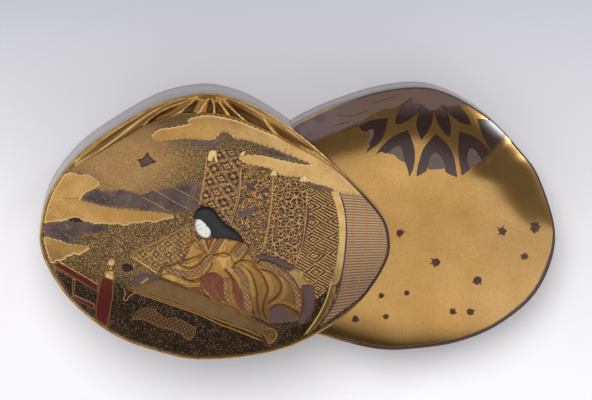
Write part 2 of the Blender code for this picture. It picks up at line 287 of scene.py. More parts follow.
class Look(Nodes):
    # A new material. Its places are in millimetres, and its colours are given as seen, from 0 to 255

    def __init__(self, name, roughness=0.4, metallic=0.0, coat=0.0, specular=0.5):
        self.material = bpy.data.materials.new(name)
        self.material.use_nodes = True
        super().__init__(self.material.node_tree)
        self.shader = self.tree.nodes["Principled BSDF"]
        self.put("Roughness", roughness)
        self.put("Metallic", metallic)
        self.put("Coat Weight", coat)
        self.put("Coat Roughness", lookValues["coatRoughness"])
        self.put("Specular IOR Level", specular)
        inputs = {0: self.node("ShaderNodeTexCoord", {}, {}, "Object"), "Scale": lookValues["perMetre"]}
        self.place = self.node("ShaderNodeVectorMath", {"operation": "SCALE"}, inputs)
        self.x, self.y, self.z = self.axes(self.place)

    def put(self, name, value):
        self.feed(self.shader.inputs[name], value)

    def mix(self, share, first, second):
        first, second = [tone(*c) if isinstance(c, tuple) else c for c in (first, second)]
        return self.node("ShaderNodeMix", {"data_type": "RGBA"}, {0: share, 6: first, 7: second}, 2)

    def layers(self, base, *coats):
        # A colour with coats over it, each given as the share that it covers and its colour
        for share, colour in coats:
            base = self.mix(share, base, colour)
        return base

    def paint(self, base, *coats):
        self.put("Base Color", self.layers(base, *coats))

    def noise(self, perMillimetre, detail=2.0, roughness=0.5):
        inputs = {"Vector": self.place, "Scale": perMillimetre, "Detail": detail, "Roughness": roughness}
        return self.node("ShaderNodeTexNoise", {}, inputs)

    def patches(self, perMillimetre):
        return self.noise(perMillimetre, 3.0).ramp(0.3, 0.7)

    def dust(self, perMillimetre, size, share):
        # Grains of powder: 1 on a grain, 0 between; share says how many of the cells hold one
        inputs = {"Vector": self.place, "Scale": perMillimetre}
        distance = self.node("ShaderNodeTexVoronoi", {}, inputs, "Distance")
        colour = self.node("ShaderNodeTexVoronoi", {}, inputs, "Color")
        pick = self.node("ShaderNodeSeparateColor", {}, {0: colour}, 0)
        return distance.ramp(size, size * lookValues["grainCore"]) * pick.ramp(share, share - 0.08)

    def edge(self, low, high, ragged=None):
        # A ramp on the millimetres from the border of the piece, which may be made ragged
        reach = self.node("ShaderNodeAttribute", {"attribute_name": "edge"}, {}, "Fac")
        return (reach if ragged is None else reach + ragged).ramp(low, high)

    def lines(self, angle, spacing, width, shift=0.0, bend=0.0):
        # Parallel lines across the picture: 1 on a line
        turn = math.radians(angle)
        across = self.x * math.cos(turn) + self.y * math.sin(turn) + bend
        outer, inner = [0.5 - width * lookValues[side] / spacing for side in ("lineOuter", "lineInner")]
        return abs((across / spacing + shift).fract() - 0.5).ramp(outer, inner)

    def bump(self, height, strength):
        inputs = {"Height": height, "Strength": strength, "Distance": lookValues["bumpDepth"]}
        self.put("Normal", self.node("ShaderNodeBump", {}, inputs))


def twoTone(name, perMillimetre, first, second, roughness, metallic=0.0, specular=0.5):
    # A plain finish of two tones in soft patches
    look = Look(name, roughness, metallic, specular=specular)
    look.paint(first, (look.noise(perMillimetre), second))
    return look


# Pieces

skinValues = {
    "rowHeight": 0.866,
    "borderStep": 0.8,
    "borderGap": 0.45,
    "strandSteps": 6,
    "strandTuck": 0.06,
    "strandTip": (0.2, 0.12),
    "ribbonTip": (0.15, 0.08),
    "scallopStep": 0.2,
}


def addObject(name, data):
    made = bpy.data.objects.new(name, data)
    bpy.context.scene.collection.objects.link(made)
    return made


def finishPiece(name, work, looks, sharpAngle=40.0):
    # The mesh in millimetres becomes a smooth piece of the box in metres
    bmesh.ops.scale(work, vec=(0.001, 0.001, 0.001), verts=work.verts)
    limit = math.radians(sharpAngle)
    for seam in work.edges:
        seam.smooth = len(seam.link_faces) != 2 or seam.calc_face_angle(0.0) < limit
    for face in work.faces:
        face.smooth = True
    mesh = bpy.data.meshes.new(name)
    work.to_mesh(mesh)
    work.free()
    for look in looks:
        mesh.materials.append(look.material)
    piece = addObject(name, mesh)
    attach(piece, "root")
    return piece


def crossings(outline, y):
    # Where a level line crosses the closed outline
    found = []
    for i in range(len(outline)):
        a, b = outline[i - 1], outline[i]
        if (a.y > y) != (b.y > y):
            found.append(a.x + (y - a.y) / (b.y - a.y) * (b.x - a.x))
    return sorted(found)


def gridInside(outline, spacing):
    # Points of a staggered grid inside the outline, row by row
    found = []
    low = min(p.y for p in outline)
    high = max(p.y for p in outline)
    step = spacing * skinValues["rowHeight"]
    for row in range(int((high - low) / step) + 1):
        y = low + step * (row + 0.5)
        ends = crossings(outline, y)
        shift = 0.5 * (row % 2)
        for start, stop in zip(ends[::2], ends[1::2]):
            for column in range(math.ceil(start / spacing - shift), math.floor(stop / spacing - shift) + 1):
                found.append(Vector(((column + shift) * spacing, y)))
    return found


def walked(points, step):
    # The closed outline with its long sides cut to the step
    result = []
    for i in range(len(points)):
        start, end = points[i - 1], points[i]
        parts = max(1, math.ceil((end - start).length / step))
        result += [start.lerp(end, k / parts) for k in range(parts)]
    return result


def faceUp(face):
    face.normal_update()
    if face.normal.z < 0:
        face.normal_flip()


def addSkin(work, shell, outline, base=0.0, rise=0.05, edge=0.3, spacing=0.5, sink=0.03, shape=None):
    # One outline laid on the shell's crown, rounded up from its border by the rise
    margin = work.verts.layers.float["edge"]
    border = walked(outline, spacing * skinValues["borderStep"])
    tree = kdtree.KDTree(len(border) * 2)
    for i, point in enumerate(border):
        tree.insert(point.to_3d(), i)
        tree.insert(point.lerp(border[i - 1], 0.5).to_3d(), i)
    tree.balance()
    points = list(border)
    gaps = [0.0] * len(border)
    for point in gridInside(border, spacing):
        gap = tree.find(point.to_3d())[2]
        if gap > spacing * skinValues["borderGap"]:
            points.append(point)
            gaps.append(gap)
    sides = [(i, (i + 1) % len(border)) for i in range(len(border))]
    flat, seams, faces, origins = geometry.delaunay_2d_cdt(points, sides, [], 1, 1e-5)[:4]
    verts = []
    for place, origin in zip(flat, origins):
        gap = gaps[origin[0]] if origin else 0.0
        part = min(gap / edge, 1.0)
        height = shell.height(place.x, place.y) + base
        height += rise * math.sqrt(part * (2 - part)) if gap > 0 else -sink
        mark = gap
        if shape is not None and gap > 0:
            more, mark = shape(place, gap)
            height += more
        made = work.verts.new((place.x, place.y, height))
        made[margin] = mark
        verts.append(made)
    for corners in faces:
        faceUp(work.faces.new([verts[k] for k in corners]))


def skin(name, shell, outlines, look, smooth=0, limit=0.98, **form):
    # A piece of the picture made of one or more outlines, smoothed by as many steps between their points
    work = bmesh.new()
    work.verts.layers.float.new("edge")
    for outline in outlines:
        if smooth:
            outline = curvePoints(outline, True, smooth)
        addSkin(work, shell, [shell.held(point, limit) for point in outline], **form)
    finishPiece(name, work, [look])


def tapered(line, width, blunt, length):
    # Each point of the line with the direction to its left and half the width there, less towards the tips
    rows = []
    for i, point in enumerate(line):
        along = line[min(i + 1, len(line) - 1)] - line[max(i - 1, 0)]
        share = i / (len(line) - 1)
        rows.append((point, leftOf(along), width / 2 * min(1.0, blunt + min(share, 1 - share) / length)))
    return rows


def ribbon(path, width):
    # The outline of a strip along a smooth path
    rows = tapered(curvePoints(path, False, skinValues["strandSteps"]), width, *skinValues["ribbonTip"])
    one = [point + side * reach for point, side, reach in rows]
    return one + [point - side * reach for point, side, reach in rows[::-1]]


def strands(name, shell, paths, look, base=0.05, rise=0.06, limit=0.98):
    # Lines drawn in raised lacquer, given as (points, width), with a rounded back and thin tips
    work = bmesh.new()
    margin = work.verts.layers.float.new("edge")
    tuck = -skinValues["strandTuck"]
    for points, width in paths:
        line = curvePoints([shell.held(point, limit) for point in points], False, skinValues["strandSteps"])
        rows = []
        for point, side, reach in tapered(line, width, *skinValues["strandTip"]):
            row = []
            for across, lift in ((-1, tuck), (0, rise), (1, tuck)):
                spot = point + side * reach * across
                row.append(work.verts.new((spot.x, spot.y, shell.height(spot.x, spot.y) + base + lift)))
            row[1][margin] = reach
            rows.append(row)
        for first, second in zip(rows, rows[1:]):
            for k in (0, 1):
                work.faces.new((first[k + 1], first[k], second[k], second[k + 1]))
    for face in work.faces:
        faceUp(face)
    finishPiece(name, work, [look])


def withWidth(paths, width):
    return [(path, width) for path in paths]


def scalloped(points, size, depth):
    # The smooth outline with small lobes that swell outwards all along it
    step = skinValues["scallopStep"]
    line = walked(curvePoints(points, True, 4), step)
    count = max(3, round(len(line) * step / size))
    if sum(line[i - 1].cross(line[i]) for i in range(len(line))) < 0:
        line.reverse()
    result = []
    for i, point in enumerate(line):
        along = line[(i + 1) % len(line)] - line[i - 1]
        swell = abs(math.sin(math.pi * count * i / len(line)))
        result.append(point - leftOf(along) * depth * swell)
    return result


def disc(x, y, radius, count=24):
    turns = [math.tau * k / count for k in range(count)]
    return [Vector((x + radius * math.cos(turn), y + radius * math.sin(turn))) for turn in turns]


# The body of the box

bodyValues = {
    "wall": 2.5,
    "floor": 2.5,
    "ceiling": 3.0,
    "footRound": 1.2,
    "rimRound": 0.25,
    "rimWidth": 0.6,
    "rimSteps": ((0.35, 0.12), (0.65, 0.5), (1.0, 1.0)),
    "rimTilt": 0.25,
    "rimReach": 0.2,
    "lipHeight": 3.5,
    "lipThickness": 1.2,
    "clearance": 0.3,
    "underSkin": 0.35,
    "domeEdge": 0.985,
    "dishShares": (0.955, 0.92, 0.87, 0.8, 0.7, 0.55, 0.3),
    "domeBorder": (0.9985, 0.996, 0.993, 0.989, 0.983),
    "domeShares": (0.975, 0.95, 0.91, 0.86, 0.78, 0.68, 0.5, 0.25),
    "roomShares": (1.0, 0.95, 0.86, 0.7, 0.45, 0.2),
}


def bridge(work, loops):
    # Four-sided faces between closed loops of as many points
    count = len(loops[0])
    for lower, upper in zip(loops, loops[1:]):
        for i in range(count):
            following = (i + 1) % count
            work.faces.new((lower[i], lower[following], upper[following], upper[i]))


def loft(name, rings, part=0):
    # One closed body through level rings given as (points, height)
    work = bmesh.new()
    loops = []
    for points, height in rings:
        loops.append([work.verts.new((p.x, p.y, height)) for p in points])
    bridge(work, loops)
    work.faces.new(list(reversed(loops[0])))
    work.faces.new(loops[-1])
    for face in work.faces:
        face.material_index = part
    mesh = bpy.data.meshes.new(name)
    work.to_mesh(mesh)
    work.free()
    for slot in range(3):
        mesh.materials.append(None)
    return addObject(name, mesh)


def carve(target, steps):
    # Joins and cuts the target with each tool in turn and gives its mesh, the tools thrown away
    for operation, tool in steps:
        modifier = target.modifiers.new(tool.name, "BOOLEAN")
        modifier.operation = operation
        modifier.solver = "EXACT"
        modifier.object = tool
    bpy.context.view_layer.update()
    seen = target.evaluated_get(bpy.context.evaluated_depsgraph_get())
    work = bmesh.new()
    work.from_mesh(seen.to_mesh())
    for old in [target] + [tool for operation, tool in steps]:
        bpy.data.objects.remove(old)
    return work


def roundSteps(radius, count):
    # A quarter round as (inset, drop) pairs, from the upright wall to the top
    turns = [math.pi / 2 * k / count for k in range(count + 1)]
    return [(radius * (1 - math.cos(turn)), radius * (1 - math.sin(turn))) for turn in turns]


def leftLidRings(left):
    rim, width, bend = heightValues["leftRim"], bodyValues["rimWidth"], bodyValues["rimRound"]
    inner = dish(1 - width / left.half.y)
    rings = [(left.ring(0), heightValues["parting"] + bodyValues["clearance"])]
    rings += [(left.ring(inset), rim - drop) for inset, drop in roundSteps(bend, 5)]
    for share, fall in bodyValues["rimSteps"]:
        rings.append((left.ring(bend + (width - bend) * share), rim + (inner - rim) * fall))
    for share in bodyValues["dishShares"]:
        rings.append((left.ring(0, share), dish(share) - bodyValues["underSkin"]))
    return rings


def rightLidRings(right):
    rings = [(right.ring(0), heightValues["parting"] + bodyValues["clearance"])]
    rings.append((right.ring(0), heightValues["rightRim"]))
    for share in bodyValues["domeBorder"]:
        rings.append((right.ring(0, share), dome(share)))
    for share in bodyValues["domeShares"]:
        rings.append((right.ring(0, share), dome(share) - bodyValues["underSkin"]))
    return rings


def roomRings(shell):
    # The room inside the lid, under the ceiling
    wall = bodyValues["wall"]
    start = 1 - wall / shell.half.y
    rings = [(shell.ring(wall), heightValues["parting"] - bodyValues["clearance"])]
    for share in bodyValues["roomShares"]:
        rings.append((shell.ring(wall, share), shell.crown(share * start) - bodyValues["ceiling"]))
    return rings


def baseRings(shell):
    steps = reversed(roundSteps(bodyValues["footRound"], 4))
    return [(shell.ring(inset), fall) for inset, fall in steps] + [(shell.ring(0), heightValues["parting"])]


def prisms(name, operation, shells, inset, low, high):
    # A cutting or joining step for each shell: an upright body of its outline moved inwards
    return [(operation, loft(name, [(shell.ring(inset), low), (shell.ring(inset), high)], 2))
            for shell in shells]


def wallLook():
    # Dark lacquer polished to a deep gloss, with a trace of gold powder
    look = Look("wall_lacquer", roughness=0.14, specular=0.95)
    look.paint(
        (74, 41, 36),
        (look.noise(0.08), (86, 50, 43)),
        (look.dust(5, 0.25, 0.15), (112, 82, 50)),
    )
    look.bump(look.noise(0.25, 3), 0.05)
    return look


def insideLook():
    look = Look("inside_lacquer", roughness=0.25, coat=0.3)
    look.paint(
        (28, 16, 14),
        (look.noise(0.1), (44, 27, 20)),
        (look.dust(3, 0.3, 0.5), (150, 112, 60)),
    )
    return look


def rimLook():
    # A thin gold edge, worn to dark lacquer towards the domed shell
    look = Look("rim_gold")
    fadeShare = (look.x + look.noise(0.3) * 3).ramp(6, 16)
    wear = look.noise(0.5, 3)
    dull = look.x.ramp(-20, -34) * look.y.ramp(2, -8)
    look.paint(
        (230, 192, 126),
        (wear.ramp(0.35, 0.7), (184, 138, 76)),
        (look.y.ramp(2, -14) * 0.45, (146, 110, 60)),
        (fadeShare, (66, 42, 37)),
    )
    look.put("Metallic", 0.9 - fadeShare * 0.8)
    look.put("Roughness", 0.22 + wear * 0.18 + dull * 0.3 + fadeShare * 0.2)
    return look


def makeLid(left, right, looks):
    low = heightValues["parting"] / 2
    high = heightValues["parting"] + bodyValues["lipHeight"] + bodyValues["clearance"]
    seat = bodyValues["wall"] - bodyValues["lipThickness"] - bodyValues["clearance"]
    lid = loft("lidShell", leftLidRings(left))
    steps = [("UNION", loft("lidRight", rightLidRings(right)))]
    steps += [("DIFFERENCE", loft("room", roomRings(shell), 2)) for shell in (left, right)]
    work = carve(lid, steps + prisms("seat", "DIFFERENCE", (left, right), seat, low, high))
    # The faces of the rims take the gold look: high enough, and turned upwards enough
    low, tilt = heightValues["rightRim"] - bodyValues["rimReach"], bodyValues["rimTilt"]
    for face in work.faces:
        if face.material_index == 0 and face.normal.z > tilt and face.calc_center_median().z > low:
            face.material_index = 1
    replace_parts(finishPiece("lidShell", work, looks), "box_lid")


def makeBase(left, right, looks):
    parting, wall = heightValues["parting"], bodyValues["wall"]
    top = parting + bodyValues["lipHeight"]
    lip = wall - bodyValues["lipThickness"]
    base = loft("boxBase", baseRings(left))
    steps = [("UNION", loft("baseRight", baseRings(right)))]
    steps += prisms("lip", "UNION", (left, right), lip, parting / 2, top)
    steps += prisms("tray", "DIFFERENCE", (left, right), wall, bodyValues["floor"], top + 2)
    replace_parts(finishPiece("boxBase", carve(base, steps), looks), "box_base")


# Ground of the dish

def groundLook():
    # Gold powder over brown lacquer, thick at the upper left and thinner towards the bottom
    look = Look("ground_nashiji", roughness=0.4, metallic=0.35)
    reach = abs(look.x + 41) * 0.7 + abs(look.y - 14.5) + look.noise(0.12) * 6
    bright = reach.ramp(19, 9)
    dusk = (look.y + look.noise(0.3, 3) * 3).ramp(-9.5, -14)
    top = look.y.ramp(17, 22) * 0.7
    dark = look.noise(4.4).ramp(0.46, 0.56) * (0.85 - bright * 0.5) * (1 - top)
    grains = look.dust(4, 0.5, 0.6) * (0.85 - bright * 0.25) * (1 - dusk * 0.6) * (1 - top)
    look.paint(
        (108, 80, 44),
        (bright, (173, 132, 80)),
        (dark, (58, 41, 28)),
        (dusk * 0.85, (46, 33, 26)),
        (grains, (210, 172, 108)),
    )
    return look


def makeGround(left):
    ring = [p - left.middle for p in left.ring(bodyValues["rimWidth"] - 0.08)]
    skin("dishGround", left, [ring], groundLook(), limit=2.0, rise=0.0, spacing=0.6, sink=0.02)


# Hinge plate

hingeValues = {
    "drop": 1.2,
    "margin": 0.5,
    "ribHeight": 0.35,
    "ribWidths": (0.24, 0.3),
    "hollowDepth": 0.6,
    "slope": 0.4,
    "edge": [
        (-38.4, 9.6), (-36.3, 11.9), (-33.3, 14.1), (-28.7, 16.6), (-24.5, 19.1), (-21.1, 21.1),
        (-17.8, 23.2), (-14, 24.7), (-10.2, 26), (-7.3, 26.6), (-4.3, 26.6), (-1.7, 26.6), (1.1, 26.5),
        (3.5, 26), (6.1, 25.2), (9.2, 23.9), (11.7, 22.9), (14.4, 21.5), (17.8, 19.5), (22.2, 17.4),
        (26.5, 14.8), (30.4, 12),
    ],
    "ribs": [
        [(-4.3, 31.1), (-9.4, 29.8), (-15.2, 26.9), (-21.1, 22.7), (-27.4, 18.1), (-32.9, 14.6)],
        [(-4.7, 30.7), (-8.1, 29.2), (-11.9, 27.7), (-15.2, 25.6), (-16.7, 24.1)],
        [(-16.5, 24), (-13.6, 24.3), (-10.2, 25.8), (-7.3, 27.9), (-4.5, 30.5)],
        [(-4.1, 30.7), (-5.6, 29.2), (-7.7, 27.6), (-10, 26.2)],
        [(-16.1, 27.6), (-20.3, 25), (-24.5, 22.2), (-28.7, 19), (-32.9, 15.7)],
        [(-1.3, 30.3), (-2.6, 29), (-3.9, 26.7)],
        [(-0.6, 30.3), (-0.1, 28.5), (-0.1, 26.7)],
        [(0.5, 30.6), (2, 28.1), (3.4, 26.2)],
        [(1.1, 30.7), (4.4, 27.6), (7.3, 24.9)],
        [(2.4, 30.8), (6.1, 29.3), (10.9, 26.2), (12.6, 24.2), (14.7, 21.5)],
        [(4.8, 29.9), (10.9, 26.4), (14.3, 24.7), (18.6, 22.1), (23.8, 18.6), (30.3, 12.9)],
    ],
    "lips": [
        ([(-6.3, 30.3), (-5, 30.4), (-3.4, 30), (-2, 29.5)], 0.8),
        ([(-0.7, 29.5), (0.8, 29.8), (2.2, 30.2), (3, 30.2)], 0.7),
    ],
    "hollows": [
        [(-5.8, 30.1), (-4.3, 30.6), (-3.5, 30), (-4.9, 27.8), (-5.6, 26.5), (-7.8, 26.6), (-7.3, 27.8)],
        [(-1.7, 29.5), (-1.2, 30), (-0.5, 29.4), (-0.4, 26.9), (-2.1, 26.8), (-1.9, 28.1)],
        [(0, 30.1), (0.6, 29.6), (2.9, 26.5), (2.2, 26.3), (0.3, 26.6), (0.1, 28.5)],
        [(1.2, 29.8), (2.2, 29.2), (6.8, 25.3), (6.1, 25.2), (3.9, 26.1), (2.3, 28.3)],
        [(2.8, 29.8), (6.5, 28.1), (10.9, 25.6), (12.4, 23.9), (14, 21.8), (13.5, 21.8), (10.5, 23.3),
         (7.7, 24.9), (4.8, 27.4)],
        [(11.8, 25.5), (14.3, 24.2), (18.6, 21.6), (22.1, 19.4), (24.7, 17.5), (22.1, 18.1), (17.8, 20.1),
         (15.2, 21.7), (13.2, 24)],
        [(-7.7, 29.5), (-10.6, 28.4), (-14, 26.8), (-15.9, 25.2), (-17.3, 23.8), (-21.1, 21.4),
         (-17.8, 22.8), (-15, 24.6), (-13.2, 26.2), (-10.2, 27.5)],
        [(-19.4, 25.4), (-23.2, 22.8), (-27, 20.3), (-30.8, 18), (-27, 19.5), (-23.2, 22), (-20.1, 24.3)],
    ],
}


def segmentGap(point, line):
    # The distance to a line of points, and how far along it the nearest place is, from 0 to 1
    best = (1e9, 0.0)
    for i in range(1, len(line)):
        start, along = line[i - 1], line[i] - line[i - 1]
        t = max(0.0, min(1.0, (point - start).dot(along) / along.length_squared))
        gap = (point - start - along * t).length
        if gap < best[0]:
            best = (gap, (i - 1 + t) / (len(line) - 1))
    return best


def depthInside(point, outline):
    # The distance to the border for a point inside the closed outline, and 0 outside
    inside = sum(x > point.x for x in crossings(outline, point.y)) % 2
    return segmentGap(point, outline + outline[:1])[0] if inside else 0.0


def hingeLook():
    # Gold, browner at the left end and lighter from the middle rightwards, with a painted highlight on the
    # ribs and painted shade in the hollows
    look = Look("hinge_gold", roughness=0.3, metallic=0.8)
    look.paint(
        (192, 146, 80),
        (look.patches(0.4), (164, 119, 60)),
        (look.x.ramp(-20, -34), (126, 89, 49)),
        (look.x.ramp(-16, -9) * 0.5, (226, 178, 104)),
        (look.edge(0.5, 0.1), (240, 200, 130)),
        (look.edge(0.52, 1) * 0.85, (68, 40, 18)),
    )
    look.bump(look.noise(5), 0.1)
    return look


def makeHinge(left):
    lower = curvePoints(hingeValues["edge"], False, 4)
    upper = [p - left.middle for p in left.ring(hingeValues["margin"])]
    upper = [p for p in upper if p.y > 0 and lower[0].x + 0.3 < p.x < lower[-1].x - 0.3]
    upper.sort(key=lambda p: -p.x)
    ribs = [curvePoints(rib, False, 4) for rib in hingeValues["ribs"]]
    hollows = [curvePoints(outline, True, 2) for outline in hingeValues["hollows"]]
    top = heightValues["leftRim"] - hingeValues["drop"]
    narrow, spread = hingeValues["ribWidths"]
    slope = hingeValues["slope"]

    def relief(place, gap):
        point = place - left.middle
        surface = left.height(place.x, place.y)
        ridge = 0.0
        for rib in ribs:
            distance, along = segmentGap(point, rib)
            ridge = max(ridge, 1 - distance / (narrow + spread * along))
        hollow = min(1.0, max(depthInside(point, outline) for outline in hollows) / slope) * (1 - ridge)
        height = max(top, surface + 0.05) + hingeValues["ribHeight"] * ridge
        rise = max(height - hingeValues["hollowDepth"] * hollow - surface, 0.03)
        start = min(1.0, gap / slope)
        # The mark is low on the ribs for their painted highlight and high in the hollows for their painted
        # shade
        return rise * start - 0.05 * (1 - start), 0.5 + 0.5 * hollow - 0.5 * ridge

    skin("hingePlate", left, [lower + upper], hingeLook(), limit=2.0, rise=0.0, spacing=0.22, sink=0.05,
         shape=relief)
    strands("hingeRidge", left, [(hingeValues["edge"][5:], 0.3)], paleLineLook(), base=0.4, rise=0.3)
    strands("hingeLips", left, hingeValues["lips"], paleLineLook(), base=0.1, rise=0.6, limit=0.985)


def darkLook():
    return twoTone("deep_lacquer", 1, (32, 20, 18), (54, 38, 32), roughness=0.3, specular=0.3)


# The domed shell

domeValues = {
    "rings": 40,
    "cover": 1.2,
    "holePoints": 52,
    "holeReach": (0.62, 0.6),
    "holeSeed": 5,
    "zone": [
        [(-20.3, 22.4), (-16.6, 24.2), (-11.8, 26.5), (-7.1, 28.4), (-2.3, 30), (2.5, 31.2), (7.3, 31.7),
         (9.8, 31.7), (13.4, 30.9), (16.6, 29.9), (19.5, 28.5), (21.5, 27.4), (20.1, 27.2), (18.5, 27.5),
         (17, 27.2), (15.3, 27.4), (14.7, 27.7), (14, 26.9), (12.9, 26.4), (11.6, 26.6), (10.1, 27.8),
         (8.6, 28), (7.5, 29.3), (7.5, 29.3), (6.2, 28.5), (4.8, 27.6), (2.8, 26.7), (1.1, 26.7),
         (-1.7, 25.4), (-3.7, 24.2), (-5.1, 23.3), (-7.7, 22.5), (-10.4, 21.1), (-13.2, 20.1), (-15.6, 19),
         (-19.1, 20.2)],
    ],
    "petals": [
        [(7.8, 29.1), (6.2, 28.2), (4.8, 26.7), (3.9, 25.1), (3.6, 23.9), (4.1, 23.1), (6.1, 23.8),
         (8.2, 25.1), (9.2, 26.3), (10, 27.7), (10.3, 28.9), (9.1, 29.6)],
        [(10.2, 28.7), (9.6, 27.2), (9.1, 25.5), (8.6, 23.1), (9.1, 21), (9.8, 19.4), (9.8, 19.4), (11, 21),
         (12.2, 23.1), (12.6, 25.2), (12.9, 26.5), (12.7, 28.2), (11.5, 28.9)],
        [(13.4, 28.2), (13.1, 26.4), (13.4, 24.5), (14.2, 22.6), (15.4, 21), (16.5, 20.1), (16.5, 20.1),
         (16.9, 21.6), (16.7, 23.8), (16, 25.9), (14.7, 27.7), (13.9, 28.6)],
        [(15.1, 27.7), (16.5, 25.6), (18.4, 24), (20.3, 23), (21.7, 22.8), (21.7, 22.8), (21.2, 24.4),
         (20.1, 26), (18.5, 27.6), (17.3, 28.3), (15.8, 28.3)],
        [(1.9, 24.6), (1.9, 24.6), (-0.1, 24.4), (-2.1, 24.1), (-3.7, 23.4), (-5.2, 22.7), (-5.2, 22.7),
         (-4.5, 21.9), (-3.6, 21.4), (-2.6, 21.9), (-1.9, 22), (-1.9, 20.8), (-2.7, 19.5), (-2.5, 18.1),
         (-3.3, 16.6), (-3.3, 16.6), (-1.9, 17.6), (-0.5, 18.6), (0.7, 20.3), (1.4, 22.6)],
        [(6.5, 21.8), (6.5, 21.8), (4.1, 20.9), (2.2, 19.7), (0.2, 17.9), (-1.2, 15.9), (-1.2, 15.9),
         (0.1, 16.7), (1.4, 16.3), (2.5, 17), (3.4, 17.6), (4.5, 17.9), (5.1, 17.1), (5.4, 15.6),
         (5.6, 14.7), (6.3, 13), (6.9, 10.8), (6.9, 10.8), (7.8, 12.8), (8.2, 15.5), (8, 17.9),
         (7.2, 20.2)],
        [(13.2, 20.8), (13.2, 20.8), (11.7, 19.3), (10.2, 17.4), (9.3, 14.7), (8.7, 12.5), (8.6, 10.8),
         (8.6, 10.8), (10.2, 11.7), (11, 12.3), (11.5, 14.3), (12.2, 15.7), (13.2, 16.4), (14.3, 15.5),
         (15.1, 14.2), (15.4, 12.5), (15.6, 11.8), (16.8, 11.1), (18.3, 10.6), (18.3, 10.6), (18, 13),
         (17.5, 15.4), (16.4, 17.8), (14.6, 19.7)],
        [(19, 21.4), (19, 21.4), (18.7, 18.9), (18.6, 16.6), (18.9, 13.7), (19.4, 10.9), (19.4, 10.9),
         (20.5, 11.7), (21.4, 12.4), (20.9, 14.1), (20.8, 16), (21.5, 17.3), (22.8, 16.9), (23.7, 15.5),
         (24.7, 14.3), (25.9, 13.4), (27.1, 14.8), (26.4, 15.9), (25.5, 17.4), (23.8, 19.1), (21.8, 20.3),
         (20.3, 20.8)],
        [(23.2, 24.2), (23.2, 24.2), (23.8, 22.4), (24.8, 19.8), (26, 17.6), (27.6, 14.9), (27.6, 14.9),
         (28.9, 16.2), (30.5, 17.6), (31.5, 18.8), (30.5, 20.2), (29.3, 21.4), (28, 22.6), (26.3, 23.7),
         (25, 24.1)],
    ],
    "hearts": [
        [(-2.7, 21.7), (-1.7, 21.9), (-1.6, 20.8), (-2.1, 19.5), (-2.9, 18.4), (-3.3, 19.1), (-2.5, 20.3)],
        [(1.8, 16.4), (3.2, 17.6), (4.5, 18), (5.2, 17.1), (5.5, 15.6), (5.7, 14.3), (4.4, 14.9),
         (3.2, 16)],
        [(13.2, 16.4), (11.9, 15.2), (11.3, 12.7), (13.2, 12.5), (15.4, 12.8), (15, 14.4), (14.3, 15.6)],
        [(20.8, 13.8), (20.8, 16), (21.5, 17.3), (22.7, 16.9), (23.6, 15.5), (24.2, 14.4), (21.7, 13.1)],
    ],
    "cracks": [
        [(-10.2, 25.5), (-9.6, 25.1), (-6.8, 25), (-4.9, 25.6), (-2.7, 26.4)],
        [(-2, 28.1), (-0.7, 28.2), (1.3, 28.9), (4.1, 29.5)],
        [(-10.8, 22.8), (-9.2, 23.2), (-6.9, 23.9)],
        [(-2.9, 17.6), (-3.3, 16.3)],
        [(-5.2, 22.7), (-7.3, 22.1), (-9.3, 20.6)],
    ],
    "holes": [
        (4.6, -2.7, 1.4), (13.3, -9.8, 1.65), (29.2, -2.5, 1.5), (37.3, -2, 1.75), (34.7, -8.8, 1.4),
        (23.3, -14.4, 1.65), (0.3, -17.9, 1.15), (6.4, -17.3, 1.15), (-5.8, -23.8, 1.35),
        (1.5, -23.1, 1.2), (17.5, -22, 1.3), (21.7, -22.1, 1.4), (31, -9.7, 0.3),
    ],
}


def domeGoldTone(look):
    # Satin gold with the faint grain and patches of its powder
    grain = look.noise(2.2, 4, 0.6).ramp(0.45, 0.75)
    return look.layers((220, 174, 106), (look.patches(0.12), (206, 158, 92)), (grain * 0.4, (170, 122, 72)))


def sideCoat(look):
    look.put("Coat Weight", look.x.ramp(41, 46) * 0.6)


def domeLook():
    look = Look("dome_gold")
    corner = look.x.ramp(16, 10) * look.y.ramp(12, 16)
    width = 0.4 + look.y.ramp(2, -10) * 0.5 + corner * 0.35
    border = look.edge(width + 0.15, width, look.noise(0.6) * 0.3)
    look.paint(domeGoldTone(look), (border, (84, 58, 50)))
    look.put("Metallic", 0.95 - border * 0.9)
    sheen = look.x.ramp(38, 44) * look.y.ramp(8, 14)
    look.put("Roughness", 0.1 + look.noise(2.2, 4, 0.6) * 0.12 - sheen * 0.04)
    sideCoat(look)
    look.bump(look.noise(7), 0.04)
    return look


def fadedLook(name, colour, fade, specular=0.5):
    # Lacquer that gives way to the gold where the fade reaches 1: worn through on the zone and the worm
    # holes, and on the petals and their hearts a painted reflection that lies over them
    look = Look(name, roughness=0.16, specular=specular)
    fadeShare = fade(look)
    look.paint(colour(look), (fadeShare * fadeShare * fadeShare, domeGoldTone(look)))
    look.put("Metallic", fadeShare * 0.95)
    sideCoat(look)
    return look


def zoneColour(look):
    # Grey at the left end and towards the border, browner at the middle, with dark patches at the left end
    # that are a painted reflection
    cloud = look.noise(0.25, 4).ramp(0.45, 0.7) * look.x.ramp(12, 2)
    return look.layers((102, 82, 73), (look.x.ramp(16, 2), (114, 98, 98)), (cloud * 0.8, (74, 60, 62)))


def petalColour(look):
    return look.layers(
        (80, 62, 60),
        (look.y.ramp(10, 17), (54, 38, 35)),
        (look.y.ramp(18, 22), (44, 29, 25)),
        ((look.y + look.noise(0.4) * 2).ramp(26, 30), (92, 76, 74)),
        (look.edge(0.16, 0.06), (36, 24, 20)),
    )


def heartColour(look):
    return look.layers((85, 69, 66), (look.noise(0.6, 3), (104, 84, 75)))


